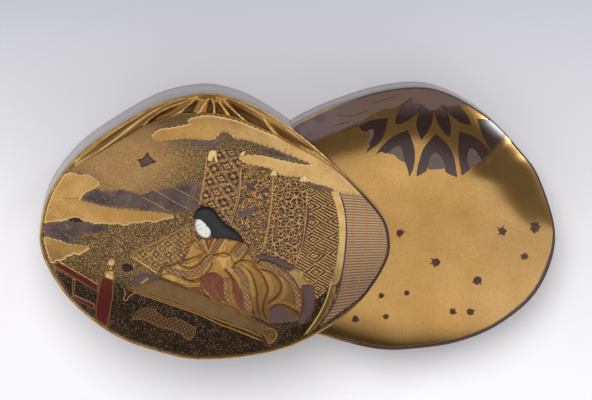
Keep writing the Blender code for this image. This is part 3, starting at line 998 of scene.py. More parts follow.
def reflectionFade(look):
    # Gives way to the gold towards the lower ends, except for a thin dark outline, and softly on the right:
    # a painted reflection lying over the petals there
    lower = (look.y + look.noise(0.8) * 2.2).ramp(12.2, 11.2) * look.edge(0, 0.25).most(0.2)
    return lower.most((look.x - look.y + look.noise(0.5, 3) * 1.6).ramp(28.6, 31.8))


def heartReflectionFade(look):
    # Gives way to the gold towards the lower end: the same painted reflection as over the petals
    return (look.y + look.noise(0.8) * 2).ramp(13.6, 12.4)


def zoneFade(look):
    # Worn along its lower border at the left
    reach = look.y - look.x * 0.4 + look.noise(0.5, 3) * 1.6
    return reach.ramp(19.4, 18) * look.edge(1.6, 0.3) * look.x.ramp(20, 14)


def holeColour(look):
    return look.layers((46, 30, 24), (look.noise(1.5), (92, 64, 46)))


def holeFade(look):
    return look.edge(0.32, 0.02) * 0.75


def wornHole(x, y, radius, source):
    # A ragged spot with a few short rays
    points = []
    count = domeValues["holePoints"]
    least, more = domeValues["holeReach"]
    for k in range(count):
        turn = math.tau * k / count
        reach = radius * (least + more * source.random() ** 2)
        points.append(Vector((x + reach * math.cos(turn), y + reach * math.sin(turn))))
    return points


def makeDome(left, right):
    work = bmesh.new()
    margin = work.verts.layers.float.new("edge")
    rings = domeValues["rings"]
    loops = []
    for k in range(rings):
        share = bodyValues["domeEdge"] * math.sin(math.pi / 2 * (rings - k) / rings)
        loops.append([work.verts.new((p.x, p.y, dome(share))) for p in right.ring(0, share)])
        for vert in loops[-1]:
            vert[margin] = (1 - share) * right.half.y
    tip = right.middle + right.peak
    centre = work.verts.new((tip.x, tip.y, dome(0.0)))
    centre[margin] = right.half.y
    bridge(work, loops)
    for i, vert in enumerate(loops[-1]):
        work.faces.new((vert, loops[-1][(i + 1) % len(loops[-1])], centre))
    hidden = 1 - domeValues["cover"] / left.half.y
    gone = [face for face in work.faces if all(left.shareAt(v.co.x, v.co.y) < hidden for v in face.verts)]
    bmesh.ops.delete(work, geom=gone, context="FACES")
    finishPiece("domeGold", work, [domeLook()])
    flat = {"smooth": 3, "rise": 0.0, "spacing": 0.4}
    skin("petalZone", right, domeValues["zone"], fadedLook("zone_lacquer", zoneColour, zoneFade),
         limit=0.988, base=0.06, sink=0.02, **flat)
    skin("petals", right, domeValues["petals"], fadedLook("petal_lacquer", petalColour, reflectionFade),
         limit=0.992, base=0.03, sink=0.0, **flat)
    skin("petalHearts", right, domeValues["hearts"], fadedLook("petal_heart", heartColour, heartReflectionFade),
         base=0.05, sink=0.0, **flat)
    strands("cracks", right, withWidth(domeValues["cracks"], 0.16), darkLook(), base=0.1, rise=0.03)
    source = random.Random(domeValues["holeSeed"])
    spots = [wornHole(x, y, radius, source) for x, y, radius in domeValues["holes"]]
    skin("wormHoles", right, spots, fadedLook("worm_hole", holeColour, holeFade, 0.2),
         rise=0.02, edge=0.2, spacing=0.22)


# Clouds and hills

cloudValues = {
    "scallops": (1.5, 0.22),  # length and depth
    "clouds": [
        [(-14.7, 21.3), (-13, 22.8), (-10.1, 23.2), (-7.1, 23.8), (-5.8, 24.2), (-6.2, 25.1), (-4.2, 25.8),
         (-2.2, 26.1), (0.7, 25.9), (5.1, 24.9), (8.5, 23.6), (12.4, 22), (17.3, 20.1), (22.2, 17.8),
         (26.6, 15.2), (30.5, 12.3), (33.9, 9.4), (35.9, 7.2), (34, 7.4), (27.2, 8.3), (22.3, 10.4),
         (19.9, 11.4), (16.4, 11.7), (13.5, 13.3), (10.5, 14), (7.6, 14.6), (6, 15.9), (7.6, 16.5),
         (11.5, 16.3), (16.4, 15.2), (21.3, 14.3), (22.8, 14.7), (19.8, 16), (14.4, 18.2), (10.5, 19.4),
         (7.6, 20.3), (5.1, 20.6), (3.7, 21.8), (2, 22.3), (0.7, 21.4), (-0.5, 20.3), (-3.2, 20.4),
         (-7.1, 20.7), (-11.1, 20.4), (-13.8, 20.3)],
        [(-37.5, 11.2), (-35.9, 12.4), (-33.7, 12.8), (-31.9, 12.1), (-30.2, 12.2), (-28.6, 11.2),
         (-27.4, 10), (-28.8, 8.9), (-30.5, 8.2), (-31.5, 7.1), (-31.8, 5.9), (-29, 5.2), (-25.9, 4.2),
         (-22, 3.6), (-18.2, 3.2), (-14.3, 2.9), (-11, 2.4), (-9.7, 2), (-10.7, 1.5), (-12.5, 1.2),
         (-14.3, 0.6), (-16.1, 0.9), (-18.2, 0.5), (-19.8, 0.5), (-21.3, -0.1), (-22.9, 0.4), (-24.6, 0.3),
         (-26.5, 0.5), (-28.2, 0.5), (-29.8, 1), (-31.3, 1.3), (-32.7, 2.1), (-34.1, 2), (-36.2, 1.4),
         (-38.1, 1.4), (-39.8, 1.2), (-40.7, 1.2), (-40.8, 3.5), (-39.9, 6.8), (-39, 9)],
        [(-40.3, -2.5), (-38.6, -3), (-36.7, -3.5), (-34.9, -4.3), (-32.3, -4.7), (-30.3, -5), (-30, -5.5),
         (-31.3, -6.3), (-32.4, -6.8), (-33.4, -6.5), (-34.2, -7), (-35.1, -7.1), (-36.2, -8), (-37.6, -8),
         (-38.6, -8.5), (-39.5, -6.5), (-40, -4.8)],
    ],
    "shades": [
        [(-6.2, 20.3), (-3.2, 20.1), (-0.5, 20.1), (1.2, 20.9), (2.7, 19.9), (0.7, 18.4), (-2.2, 18.1),
         (-4.7, 18.7)],
        [(10, 18.9), (14.4, 18), (18.8, 16.5), (22.3, 15), (19.8, 15), (14.9, 15.9), (11.5, 16.9),
         (10.1, 17.7)],
        [(-31.8, 6.9), (-30.3, 8), (-28.1, 9.1), (-26.7, 8.5), (-24.3, 8.5), (-22, 8.7), (-19.6, 8.2),
         (-17.9, 7.6), (-16, 7.8), (-14.9, 8.5), (-12.9, 8.7), (-10.1, 9.2), (-7, 9.9), (-4.2, 10.5),
         (-3, 9.1), (-3.2, 7.2), (-3.4, 5), (-4.4, 3.1), (-6.8, 2.9), (-9.6, 2.4), (-11.8, 2.8),
         (-15.4, 3.1), (-20.1, 3.7), (-24.4, 4.1), (-27.2, 4.8), (-30, 5.5)],
        [(-40.4, 0.9), (-38.7, 1.2), (-36.2, 1.5), (-34.1, 2.1), (-32.7, 2.3), (-31.2, 1.5), (-29, 0.7),
         (-26.2, 0.3), (-24.7, -0.8), (-25.1, -1.8), (-28.3, -2), (-31, -2.2), (-32.3, -2.9), (-33.1, -4.3),
         (-34.9, -4.4), (-36.7, -3.6), (-38.5, -3.1), (-40.3, -2.6), (-40.6, -0.8)],
    ],
    "over": [
        [(21.9, 10.2), (23.8, 9.7), (26.1, 9.4), (28.3, 8.4), (27.3, 7.9), (25.4, 8.1), (23.4, 8.6),
         (22.2, 9.3)],
    ],
    "tree": [
        [(-34.7, 1.5), (-34.2, 2.1), (-32.9, 2.3), (-31.6, 2.1), (-31.1, 1.4), (-32, 0.7), (-33.6, 0.7)],
    ],
    "star": [
        [(-15.9, 17.8), (-15.4, 16.4), (-14.6, 15.6), (-13.4, 15), (-14.8, 14.7), (-15.6, 14.3),
         (-17.4, 13.6), (-17.6, 14.7), (-18.5, 15.7), (-17.1, 15.9), (-16.5, 16.6)],
    ],
    "lines": [
        [(-23.5, 4.3), (-21.7, 4.4), (-20.3, 4.8), (-18.7, 4.7), (-16.8, 4.8), (-15.9, 3.6)],
        [(-17.7, 8.1), (-16.3, 8.3), (-15.1, 8.7)],
        [(-32.3, -3), (-30.9, -2.5), (-30, -2.1), (-27.1, -2.1)],
        [(-35.8, -1.7), (-34.9, -2.2), (-33.9, -2.8)],
        [(-34.7, 1.1), (-34.2, 1.8), (-33.4, 1.7), (-33.9, 0.6), (-33.4, -0.2)],
    ],
    "roof": [
        [(-15.1, 8.7), (-12.1, 7), (-8.8, 5), (-5.5, 3.4)],
        [(-10.5, 9.3), (-7.4, 7.6), (-4.8, 6.1), (-3.7, 5.5)],
        [(-17.6, 6.9), (-15.6, 5.8), (-13.3, 4.6), (-11.6, 3.5), (-9.6, 2.6)],
    ],
    "plants": [
        [(-8.8, 16.5), (-7.4, 14.9), (-6, 13.4), (-5.1, 10.8)],
        [(-7.4, 13), (-6.5, 11.5), (-5.8, 10.4)],
        [(-4.6, 10.4), (-5.3, 8.2), (-5.9, 6.8)],
        [(-3.9, 10.1), (-4.6, 8.2), (-5.1, 6.3)],
    ],
    "crack": [
        [(-36.1, 6.7), (-34.1, 6.7), (-32, 6.6)],
    ],
}


def cloudLook():
    # Bright gold with a brighter outline and scattered dark grains
    look = Look("cloud_gold", roughness=0.34, metallic=0.75)
    patch = look.patches(0.3)
    near = look.layers((218, 172, 104), (patch, (196, 146, 80)),
                       (look.x.ramp(-46, -41) * 0.6, (188, 136, 70)))
    far = look.layers((238, 198, 132), (patch, (220, 172, 104)))
    grains = look.dust(2, 0.34, 0.3) * look.noise(0.35).ramp(0.42, 0.55) * look.edge(0.35, 0.6)
    look.paint(
        near,
        (look.x.ramp(-30, -5), far),
        (look.edge(0.35, 0.15) * 0.8, (246, 212, 148)),
        (grains * 0.85, (104, 62, 34)),
    )
    look.bump(look.noise(5), 0.05)
    return look


def shadeLook():
    # Purple-brown lacquer, dusted with gold along its border
    look = Look("shade_lacquer", roughness=0.34, specular=0.3)
    border = look.edge(1.5, 0.7, look.noise(0.5, 3) * 1.4)
    look.paint(
        (68, 53, 52),
        (look.noise(0.22, 3).ramp(0.35, 0.65), (98, 79, 77)),
        (border * look.noise(4).ramp(0.4, 0.56) * 0.85, (132, 102, 62)),
        (look.dust(2.6, 0.34, 0.22), (176, 144, 92)),
    )
    return look


def starLook():
    look = Look("star_lacquer", roughness=0.3)
    look.paint((40, 26, 26), (look.edge(0.15, 0.5), (88, 56, 54)))
    return look


def makeClouds(left):
    skin("shades", left, cloudValues["shades"], shadeLook(), smooth=3, rise=0.03, edge=0.2, spacing=0.6)
    clouds = [scalloped(points, *cloudValues["scallops"]) for points in cloudValues["clouds"]]
    skin("clouds", left, clouds, cloudLook(), base=0.06, rise=0.1, edge=0.4, spacing=0.35)
    skin("tree", left, cloudValues["tree"], darkLook(), smooth=3, base=0.03, spacing=0.4)
    skin("star", left, cloudValues["star"], starLook(), base=0.03, spacing=0.3)
    fine = withWidth(cloudValues["lines"], 0.16) + withWidth(cloudValues["plants"], 0.18)
    strands("landscapeLines", left, fine, lineLook(), base=0.06, rise=0.05)
    strands("roofLines", left, withWidth(cloudValues["roof"], 0.2), paleLineLook(), base=0.06, rise=0.05)
    strands("cloudCrack", left, withWidth(cloudValues["crack"], 0.2), darkLook(), base=0.18, rise=0.02)


# The curtain, its ribbons and the reed blind

curtainValues = {
    "figures": (  # each with its tilt, spread, spacing and wobble
        ("diamonds", 69, 36, 2.75, 1.0), ("scrolls", 90, 40, 2.0, 1.2), ("leaves", 96, 34, 1.8, 2.2),
        ("frets", 94, 33, 3.3, 1.0),
    ),
    "fields": [
        [(-2.2, 17.2), (-0.6, 17.6), (1.1, 17.9), (2.7, 18.6), (5.1, 17.4), (6.1, 15.9), (6.4, 14.6),
         (6.1, 10.5), (5.9, 6.9), (5.1, 3.8), (4.1, 0.8), (3.4, -0.6), (-0.1, 0.9), (-3.4, 1.9),
         (-4.2, 3.1), (-3.9, 5), (-3.4, 7.2), (-3, 9.5), (-2.6, 13.4)],
        [(6.4, 15), (7.6, 14.5), (10.5, 13.8), (13.5, 13), (14, 12.4), (13.8, 9), (13.6, 5.7), (12.9, 0.4),
         (12.1, -3.9), (11.3, -6.8), (11.3, -9.2), (8.4, -7), (6.8, -3.9), (3.4, -0.6), (4.1, 0.8),
         (5.1, 3.8), (5.9, 6.9), (6.1, 10.5)],
        [(14, 12.4), (16.4, 11.4), (19.9, 11.1), (21.9, 10.2), (21.9, 4.5), (21.6, 0.4), (20.9, -4.6),
         (19.7, -8.2), (18.8, -10.3), (18.5, -14), (15.6, -12.3), (11.3, -9.2), (11.3, -6.8), (12.1, -3.9),
         (12.9, 0.4), (13.6, 5.7), (13.8, 9)],
        [(21.9, 10.2), (25, 8.7), (28.1, 7.6), (29.2, 4.6), (29.7, 1), (29.7, -3.8), (29, -9),
         (28.1, -13.8), (25.5, -17.1), (24, -18), (20.3, -16.2), (18.5, -14), (18.8, -10.3), (19.7, -8.2),
         (20.9, -4.6), (21.6, 0.4), (21.9, 4.5)],
    ],
    "low": [
        [(-19.9, -7.3), (-16.6, -5.8), (-13, -4.2), (-9.4, -2.4), (-6.8, -0.9), (-4.5, 0.5), (-3.9, -1.9),
         (-3.5, -3.8), (-4.6, -5.3), (-7.1, -8.1), (-9, -9.3), (-12, -10.4), (-13.5, -11.4), (-15.6, -10.3),
         (-17.8, -8.9)],
    ],
    "patches": [
        [(6.5, 9.6), (7.7, 10.3), (9.2, 9.6), (10.4, 9), (12.2, 9), (12.9, 8), (12, 7.1), (11, 7.4),
         (10.4, 8.4), (9.2, 8.6), (7.9, 9), (6.9, 9)],
        [(6.1, 3.3), (7.5, 3.9), (8.8, 4.3), (10, 4.5), (10.8, 3.9), (10.4, 2.8), (9.2, 2.2), (7.9, 1.6),
         (6.5, 1.6), (5.7, 2.4)],
        [(11.6, 0.5), (12.4, 1), (12.9, 0.3), (12.7, -0.5), (12, -1.1), (11.4, -1.7), (11, -1.1),
         (11.6, -0.3)],
    ],
    "strips": [
        [(5.5, 10.9), (5.6, 6.8), (5.1, 3.9), (4.4, 0.4)],
        [(22, 4.9), (22.2, 1.8), (21.9, -0.3), (21.2, -3.4), (20.6, -6.2)],
    ],
    "cords": [
        [(-1.8, 17.2), (-2.1, 12.9), (-2.6, 9.5), (-3.5, 5.2)],
        [(6.4, 14.1), (6.1, 10.5), (5.9, 6.9), (5.1, 3.8), (4.1, 0.8), (3.6, -0.5)],
        [(14, 12.4), (13.8, 9), (13.6, 5.7), (12.9, 0.4), (12.1, -3.9), (11.3, -6.4)],
        [(21.9, 10), (21.9, 4.5), (21.6, 0.4), (20.9, -4.6), (19.7, -8.2), (18.8, -10.3)],
        [(5.7, 9.6), (5.6, 8), (5.1, 4.9), (3.8, 1.8)],
        [(-20.3, -7.3), (-17.1, -9.3), (-13.6, -11.7)],
        [(-20.2, -7.2), (-13, -3.8), (-4.9, 0.5)],
    ],
    "bows": [
        [(-1.2, 17.7), (-1.5, 16.7), (-1.8, 15.2), (-1.2, 15.1), (-0.5, 14.8), (-0.3, 16.1), (-0.2, 16),
         (0.2, 14.8), (0.9, 14.9), (0.6, 16.1), (0.5, 17.7), (-0.3, 17.9)],
        [(6, 16.2), (5.7, 16.5), (6.4, 17.3), (6.8, 17.7), (7.5, 17.6), (7.2, 16.9), (6.8, 16.3)],
        [(13.9, 13.3), (13.4, 12.4), (13, 11.7), (13.7, 11.5), (14.4, 11.4), (15, 11.7), (14.7, 12.5),
         (14.4, 13.3)],
        [(20.8, 11.8), (20.3, 11), (19.9, 10.3), (20.7, 10.1), (21.6, 10), (22.5, 10.3), (22.4, 11.1),
         (21.6, 11.8)],
    ],
    "flowerDark": [
        [(7.6, 9.7), (9, 8.9), (10.6, 8.5), (12, 8.7), (13.2, 9.2), (12.8, 7.9), (11.2, 7.2), (9.2, 7.6),
         (8, 8.5)],
    ],
    "flower": [
        [(9.3, 9.3), (10.1, 8.3), (9.6, 7.3), (9.2, 6.5)],
        [(8.4, 7.5), (9.6, 7.8), (10.8, 8), (11.7, 8.8)],
    ],
    "band": [
        [(27.4, 8.2), (28.4, 8.2), (29.4, 8), (30.1, 5.9), (31, 3), (31.2, 0.5), (31.2, -2.2), (31, -5),
         (30.8, -7.6), (30.4, -10.2), (29.8, -12.7), (29, -14.2), (28, -14.4), (27.6, -14), (28.3, -11.4),
         (29.2, -6.8), (29.5, -2.2), (29.4, 0.5), (29, 3), (28.2, 6.1)],
        [(27.6, -14), (28, -14.4), (29, -14.2), (28.4, -16.1), (28.2, -17.7), (26.9, -20.5), (25, -23.2),
         (22.7, -25.5), (21.2, -26.3), (23.9, -22.6), (25.7, -19.4), (26.8, -16.6)],
    ],
    "bandLines": [
        [(28, -12.6), (27.4, -14.7), (26.5, -17.7), (25.3, -20.2), (23.9, -22.5), (22.5, -24.4),
         (21, -26.2)],
    ],
    "footWave": [
        [(29.1, -15.1), (28.4, -15.9), (28.5, -17), (27.4, -17.8), (27.3, -18.9), (26.6, -19.7),
         (26.6, -20.7), (25.5, -21.8)],
    ],
    "blind": [
        [(29.6, 7.9), (32.5, 8.1), (34.8, 7.8), (35.8, 7), (37.4, 5), (39.3, 2.4), (40.6, -0.3), (41, -3.4),
         (40.6, -6.4), (39.7, -9.6), (38.3, -12.8), (35.9, -15.8), (33.9, -17.6), (31.8, -19.3),
         (29.2, -21.2), (26.8, -22.9), (23.9, -24.7), (25.3, -23), (27, -20.4), (28.3, -17.7), (29, -15.6),
         (29.8, -12.7), (30.8, -7.6), (31.2, -2.2), (31, 3), (30.1, 6.1)],
    ],
    "threads": [
        [(33.1, 7.4), (33, 2.3), (32.7, -3.7), (32.1, -9), (31.2, -13.9), (29.9, -17.4)],
        [(36.1, 6.2), (36.1, 1.2), (36, -3.6), (35.3, -8.9), (34.2, -13.1), (32.7, -16.9)],
        [(39.4, 2.1), (39.3, -1.6), (39.2, -4.9), (38.6, -8.3), (37.5, -12)],
    ],
    "reedEdge": [
        [(29.5, 8), (30.6, 4.6), (31.2, 0.2), (31.3, -3.1), (30.9, -7.5), (30.2, -12.4), (28.8, -17.8),
         (26.6, -21.8)],
    ],
}


def lozenges(look, tilt, spread, spacing, wobble=0.0):
    # Where a place lies in its lozenge, each way from -0.5 to 0.5, and 0 or 1 for every other lozenge
    found = []
    cells = []
    for side in (-1, 1):
        turn = math.radians(tilt + side * spread)
        bent = (look.noise(0.3 + side * 0.08, 1) - 0.5) * wobble
        across = (look.x * math.cos(turn) + look.y * math.sin(turn) + bent) / spacing
        found.append(across.fract() - 0.5)
        cells.append(across.floor())
    return found + [((cells[0] + cells[1]) * 0.5).fract() * 2]


def ringAt(value, middle, width):
    # 1 where the value is near the middle of a line
    return abs(value - middle).ramp(width, width * 0.6)


def brocadeFigure(look, figure, u, v, other):
    # The gold lines of one traditional figure
    far = abs(u).most(abs(v))
    if figure == "diamonds":
        # Dark stars with pinched sides, gold or quartered within, on a ground of gold scribbles
        star = far + abs(abs(u) - abs(v)) * 0.2
        inside = star.ramp(0.27, 0.23)
        quarters = abs(u).least(abs(v)).ramp(0.09, 0.05)
        filled = (1 - star.ramp(0.12, 0.06)) * other + quarters * (1 - other)
        scribble = ringAt((look.noise(0.9, 1) * 4).fract(), 0.5, 0.2)
        ground = (0.32 + scribble * 0.56) * (1 - inside)
        return (ground + filled * inside * 0.85) * (1 - ringAt(star, 0.3, 0.1))
    if figure == "leaves":
        # Leaf shapes between crossed arcs, and the diagonals of the rest
        arcs = ringAt(u * u * 2 - v * 0.8, 0.12, 0.06).most(ringAt(v * v * 2 - u * 0.8, 0.12, 0.06))
        crossed = ringAt(abs(u) - abs(v), 0, 0.07)
        return far.ramp(0.43, 0.47).most(arcs * other + crossed * (1 - other))
    if figure == "frets":
        # Nested lozenges beside hatched ones
        nested, stripes = [ringAt((value * 5).fract(), 0.5, 0.26) for value in (far, u)]
        return nested * other + stripes * (1 - other)
    # Curling scrolls among small leaves
    curl = ringAt((look.noise(0.9, 1) * 5).fract(), 0.5, 0.15)
    return curl.most(ringAt((look.noise(1.6, 0) * 3).fract(), 0.5, 0.1))


def brocadeLook(name, figure, tilt, spread, spacing, wobble=1.2, faint=0.0):
    # Gold line work on purple-brown, drawn by hand and a little uneven
    look = Look(name, roughness=0.4, specular=0.3)
    gold = brocadeFigure(look, figure, *lozenges(look, tilt, spread, spacing, wobble))
    gold = gold * (0.36 + look.noise(1.2).ramp(0.35, 0.5) * 0.58)
    look.paint(
        (48, 31, 33),
        (look.patches(0.25), (74, 50, 40)),
        (faint, (112, 84, 50)),
        (gold, (210, 162, 92)),
    )
    look.put("Metallic", gold * 0.4)
    return look


def bandLook():
    look = Look("band_gold", roughness=0.32, metallic=0.75)
    look.paint(
        (244, 206, 138),
        (look.patches(0.5), (222, 178, 108)),
        (look.y.ramp(-6, -17), (146, 113, 67)),
    )
    look.bump(look.noise(4), 0.08)
    return look


def blindLook():
    # Fine reeds, each a shade apart, which fan out a little towards the lower end
    look = Look("blind_reeds", roughness=0.42, specular=0.3)
    reeds = look.lines(90, 0.66, 0.5, bend=(look.x - 12) * look.y * 0.009)
    height = look.y.ramp(-14, 0)
    look.paint(
        (104, 80, 68),
        (height, (134, 104, 84)),
        (reeds * (0.35 + height * 0.4), (206, 168, 118)),
    )
    look.bump(reeds, 0.3)
    return look


def lineLook():
    return twoTone("line_gold", 1.5, (226, 182, 106), (196, 148, 80), roughness=0.32, metallic=0.6)


def paleLineLook():
    return twoTone("line_pale_gold", 1.5, (240, 204, 136), (220, 178, 106), roughness=0.3, metallic=0.6)


def shadowLineLook():
    return twoTone("line_purple", 1.5, (62, 42, 42), (82, 58, 56), roughness=0.4)


def bowLook():
    # Pale gold cords that end in a combed fringe
    look = Look("bow_gold", roughness=0.3, metallic=0.5)
    look.paint(
        (252, 222, 156),
        (look.noise(1.5), (238, 200, 128)),
        (look.lines(4, 0.85, 0.3, 0.2) * 0.5, (142, 102, 56)),
        (look.edge(0.16, 0.06), (112, 78, 44)),
    )
    return look


def flowerDarkLook():
    return twoTone("flower_leaf", 2, (38, 36, 36), (76, 66, 50), roughness=0.4)


def flowerLook():
    return twoTone("flower_orange", 2, (176, 102, 52), (204, 140, 74), roughness=0.4)


def makeCurtains(left):
    values = curtainValues
    for number, (figure, *pattern) in enumerate(values["figures"]):
        skin(f"curtain{number + 1}", left, values["fields"][number:number + 1],
             brocadeLook("brocade_" + figure, figure, *pattern), base=0.01, spacing=0.6, sink=0.06)
    look = brocadeLook("brocade_low", "diamonds", 88, 38, 1.9, faint=0.45)
    skin("curtainLow", left, values["low"], look, rise=0.03, spacing=0.6)
    skin("shadeOver", left, cloudValues["over"], shadeLook(), smooth=2, base=0.19, rise=0.03, edge=0.2)
    skin("curtainPatches", left, values["patches"], shadeLook(), smooth=2, base=0.05, rise=0.03,
         spacing=0.4)
    strands("curtainStrips", left, withWidth(values["strips"], 1.7), shadowLineLook(), base=0.04, rise=0.05)
    skin("reedBlind", left, values["blind"], blindLook(), smooth=2, limit=0.985, rise=0.04)
    skin("goldBand", left, values["band"], bandLook(), smooth=2, base=0.02, rise=0.12, edge=0.4,
         spacing=0.4, sink=0.06)
    cords = withWidth(values["cords"], 0.36) + withWidth(values["threads"], 0.26)
    strands("goldLines", left, cords, lineLook(), base=0.06, rise=0.08)
    pale = withWidth(values["bandLines"], 0.34) + withWidth(values["footWave"], 0.2)
    strands("paleLines", left, pale, paleLineLook(), base=0.12, rise=0.08)
    strands("bandShadow", left, withWidth(values["reedEdge"], 0.4), shadowLineLook(), base=0.06, rise=0.03)
    skin("bows", left, values["bows"], bowLook(), smooth=2, base=0.16, rise=0.16, edge=0.5, spacing=0.25,
         sink=0.08)
    skin("flowerLeaf", left, values["flowerDark"], flowerDarkLook(), smooth=2, base=0.06, rise=0.03,
         spacing=0.3)
    strands("flower", left, withWidth(values["flower"], 0.36), flowerLook(), base=0.1, rise=0.05)


# The veranda: floor, rail, zither and book

roomValues = {
    "floor": [
        [(-24.1, -14.8), (-22.7, -13.2), (-22, -14.8), (-18.7, -16), (-15.4, -17.2), (-3.5, -21.4),
         (7.4, -25.3), (11.2, -26.6), (12.1, -28.4), (13.6, -28.5), (14.9, -27.4), (15.4, -26),
         (17.8, -24.2), (20.4, -23.6), (22.8, -22.2), (23.8, -19.2), (24.5, -17.1), (26.2, -16.1),
         (26.9, -16.1), (25.9, -19.1), (24, -22.6), (21, -26.1), (17.8, -27.6), (11.8, -29.7), (5.9, -30.8),
         (0, -31.1), (-6, -30.7), (-13.1, -29.2), (-20.2, -26.9), (-25.3, -24.3)],
        [(-38.3, -9.4), (-33.9, -12.1), (-27.8, -15.6), (-28, -18.6), (-28.7, -21.8), (-31.1, -20.1),
         (-34.4, -16.9), (-37.2, -13.3)],
    ],
    "rail": [
        [(-38.8, -8.8), (-36.7, -8.3), (-27.6, -13.9), (-27.8, -15.9)],
        [(-33.9, -12.1), (-33, -12.7), (-33.5, -17.1), (-34.3, -16.7)],
        [(-33.9, -15.8), (-28.5, -18.4), (-28.5, -19.9), (-33.8, -17.1)],
        [(-27, -12.6), (-26.2, -12.2), (-24.1, -13), (-24.2, -17.1), (-25.4, -23.3), (-25.9, -24.2),
         (-28.7, -22.2), (-28.3, -18.8), (-27.6, -15)],
    ],
    "cup": [
        [(-26.2, -12.3), (-26.2, -11.4), (-25.9, -10.9), (-24.1, -10.9), (-23.9, -13.1), (-25.2, -12.8)],
    ],
    "knobs": ((-24.6, -8.9, 0.95), (-24.7, -10.3, 0.35)),
    "inkBox": [
        [(-22.2, -9.8), (-21.5, -9.3), (-20.5, -9.3), (-19.5, -9.9), (-19.4, -10.9), (-20.6, -11.3),
         (-21.7, -11.1)],
    ],
    "cloth": [
        [(-21.2, -15), (-19.8, -13.6), (-19.3, -12.4), (-17.5, -11.4), (-15.4, -11.7), (-12.8, -12.3),
         (-14.4, -13.7), (-16.4, -15.5), (-18.3, -15.2)],
    ],
    "leaf": [
        [(-18, -14), (-16.8, -12.8), (-15.4, -12.4), (-16.2, -13.5), (-17.4, -14.2)],
    ],
    "zither": [
        [(-21.6, -15), (-17.8, -14.1), (-14.9, -13.2), (-13.5, -12.8), (-11.1, -13.5), (-8.1, -14.7),
         (-3.3, -16.3), (2.8, -19.3), (8.3, -22.3), (11.9, -23.7), (14, -24.8), (14.9, -25.7), (14.7, -27),
         (13.6, -28.2), (12.4, -28.1), (11.5, -26.4), (7.4, -24.9), (-3.5, -21), (-15.4, -16.8)],
    ],
    "zitherEnd": [
        [(11.2, -25.3), (12.4, -24.6), (14, -25), (14.7, -25.9), (14.4, -26.9), (13.4, -27.9),
         (12.5, -27.7), (11.9, -26.6)],
    ],
    "zitherLines": [
        [(-21.2, -15), (-15.4, -16.9), (-7.8, -19.5), (-3.7, -20.9), (1.3, -22.9), (7.6, -25.1), (9.7, -26),
         (11.5, -26.8)],
        [(-20.6, -15.5), (-15.4, -17.4), (-7.8, -20), (-3.7, -21.5), (0.8, -23.6), (4.4, -24.9),
         (9.3, -26.8), (11.3, -27.5)],
        [(-12.1, -13), (-3.3, -16), (-3, -17), (1.7, -19.1), (5.9, -20.9), (10.6, -23.3)],
    ],
    "zitherFoot": [
        [(-21.6, -14.9), (-21.3, -16.3), (-21.7, -17.7), (-20.9, -17.8), (-20.5, -17.1), (-19.6, -16.5),
         (-18.8, -16), (-20.3, -15.3)],
    ],
    "zitherCurl": [
        [(12, -25.4), (12.9, -24.7), (14, -24.9), (14.5, -25.9), (14.2, -26.9), (13.3, -27.3),
         (12.7, -26.6), (13.3, -25.9), (13.9, -26.2)],
    ],
    "book": [
        [(-19.8, -22.5), (-19.3, -21.4), (-18.8, -20.6), (-17.5, -19.7), (-15.4, -19.7), (-14.2, -20.3),
         (-13.1, -21.1), (-12.1, -21.8), (-11.1, -22.1), (-9.3, -22), (-7.6, -22.7), (-6.2, -23.5),
         (-4.4, -24.8), (-4.9, -26.3), (-5.9, -27.6), (-7.2, -26.5), (-9.5, -25.3), (-11.9, -24.7),
         (-13.7, -24.3), (-15.7, -23.1), (-18, -22.5)],
    ],
}


def floorLook():
    # Near-black lacquer strewn with gold
    look = Look("floor_lacquer", roughness=0.34, metallic=0.1, specular=0.25)
    look.paint(
        (28, 18, 16),
        (look.patches(0.25), (40, 28, 21)),
        (look.noise(4.2).ramp(0.56, 0.68) * 0.7, (84, 66, 42)),
        (look.dust(3.6, 0.4, 0.36), (158, 128, 80)),
    )
    return look


def railLook():
    # Red lacquer with a gold line along its edges
    look = Look("rail_red", roughness=0.32, specular=0.3)
    line = look.edge(0.24, 0.16)
    look.paint(
        (76, 24, 18),
        (look.y.ramp(-22, -8), (90, 36, 27)),
        (look.noise(0.8, 3).ramp(0.4, 0.7) * 0.4, (66, 24, 18)),
        (line, (172, 130, 84)),
    )
    look.put("Metallic", line * 0.4)
    return look


def zitherLook():
    # Brown-gold wood under fine strings
    look = Look("zither_wood", roughness=0.4, metallic=0.3)
    reach = (look.x * 0.94 - look.y * 0.34).ramp(6, -6)
    look.paint(
        (116, 87, 50),
        (look.patches(0.5), (99, 71, 41)),
        (look.lines(70.4, 0.44, 0.2) * reach * 0.7, (144, 113, 68)),
    )
    return look


def bookLook():
    look = Look("book_gold", roughness=0.42, metallic=0.25)
    u, v = lozenges(look, 70, 45, 0.76)[:2]
    dots = (abs(u) + abs(v)).ramp(0.4, 0.24) * (0.4 + look.noise(2).ramp(0.35, 0.55) * 0.6)
    look.paint((73, 51, 29), (dots, (141, 103, 57)), (look.edge(0.22, 0.12), (132, 100, 55)))
    return look


def lilacLook():
    look = Look("lilac_lacquer", roughness=0.36, specular=0.3)
    look.paint(
        (76, 58, 60),
        (look.noise(0.3), (97, 77, 71)),
        (look.edge(0.22, 0.08) * 0.4, (117, 92, 66)),
    )
    return look


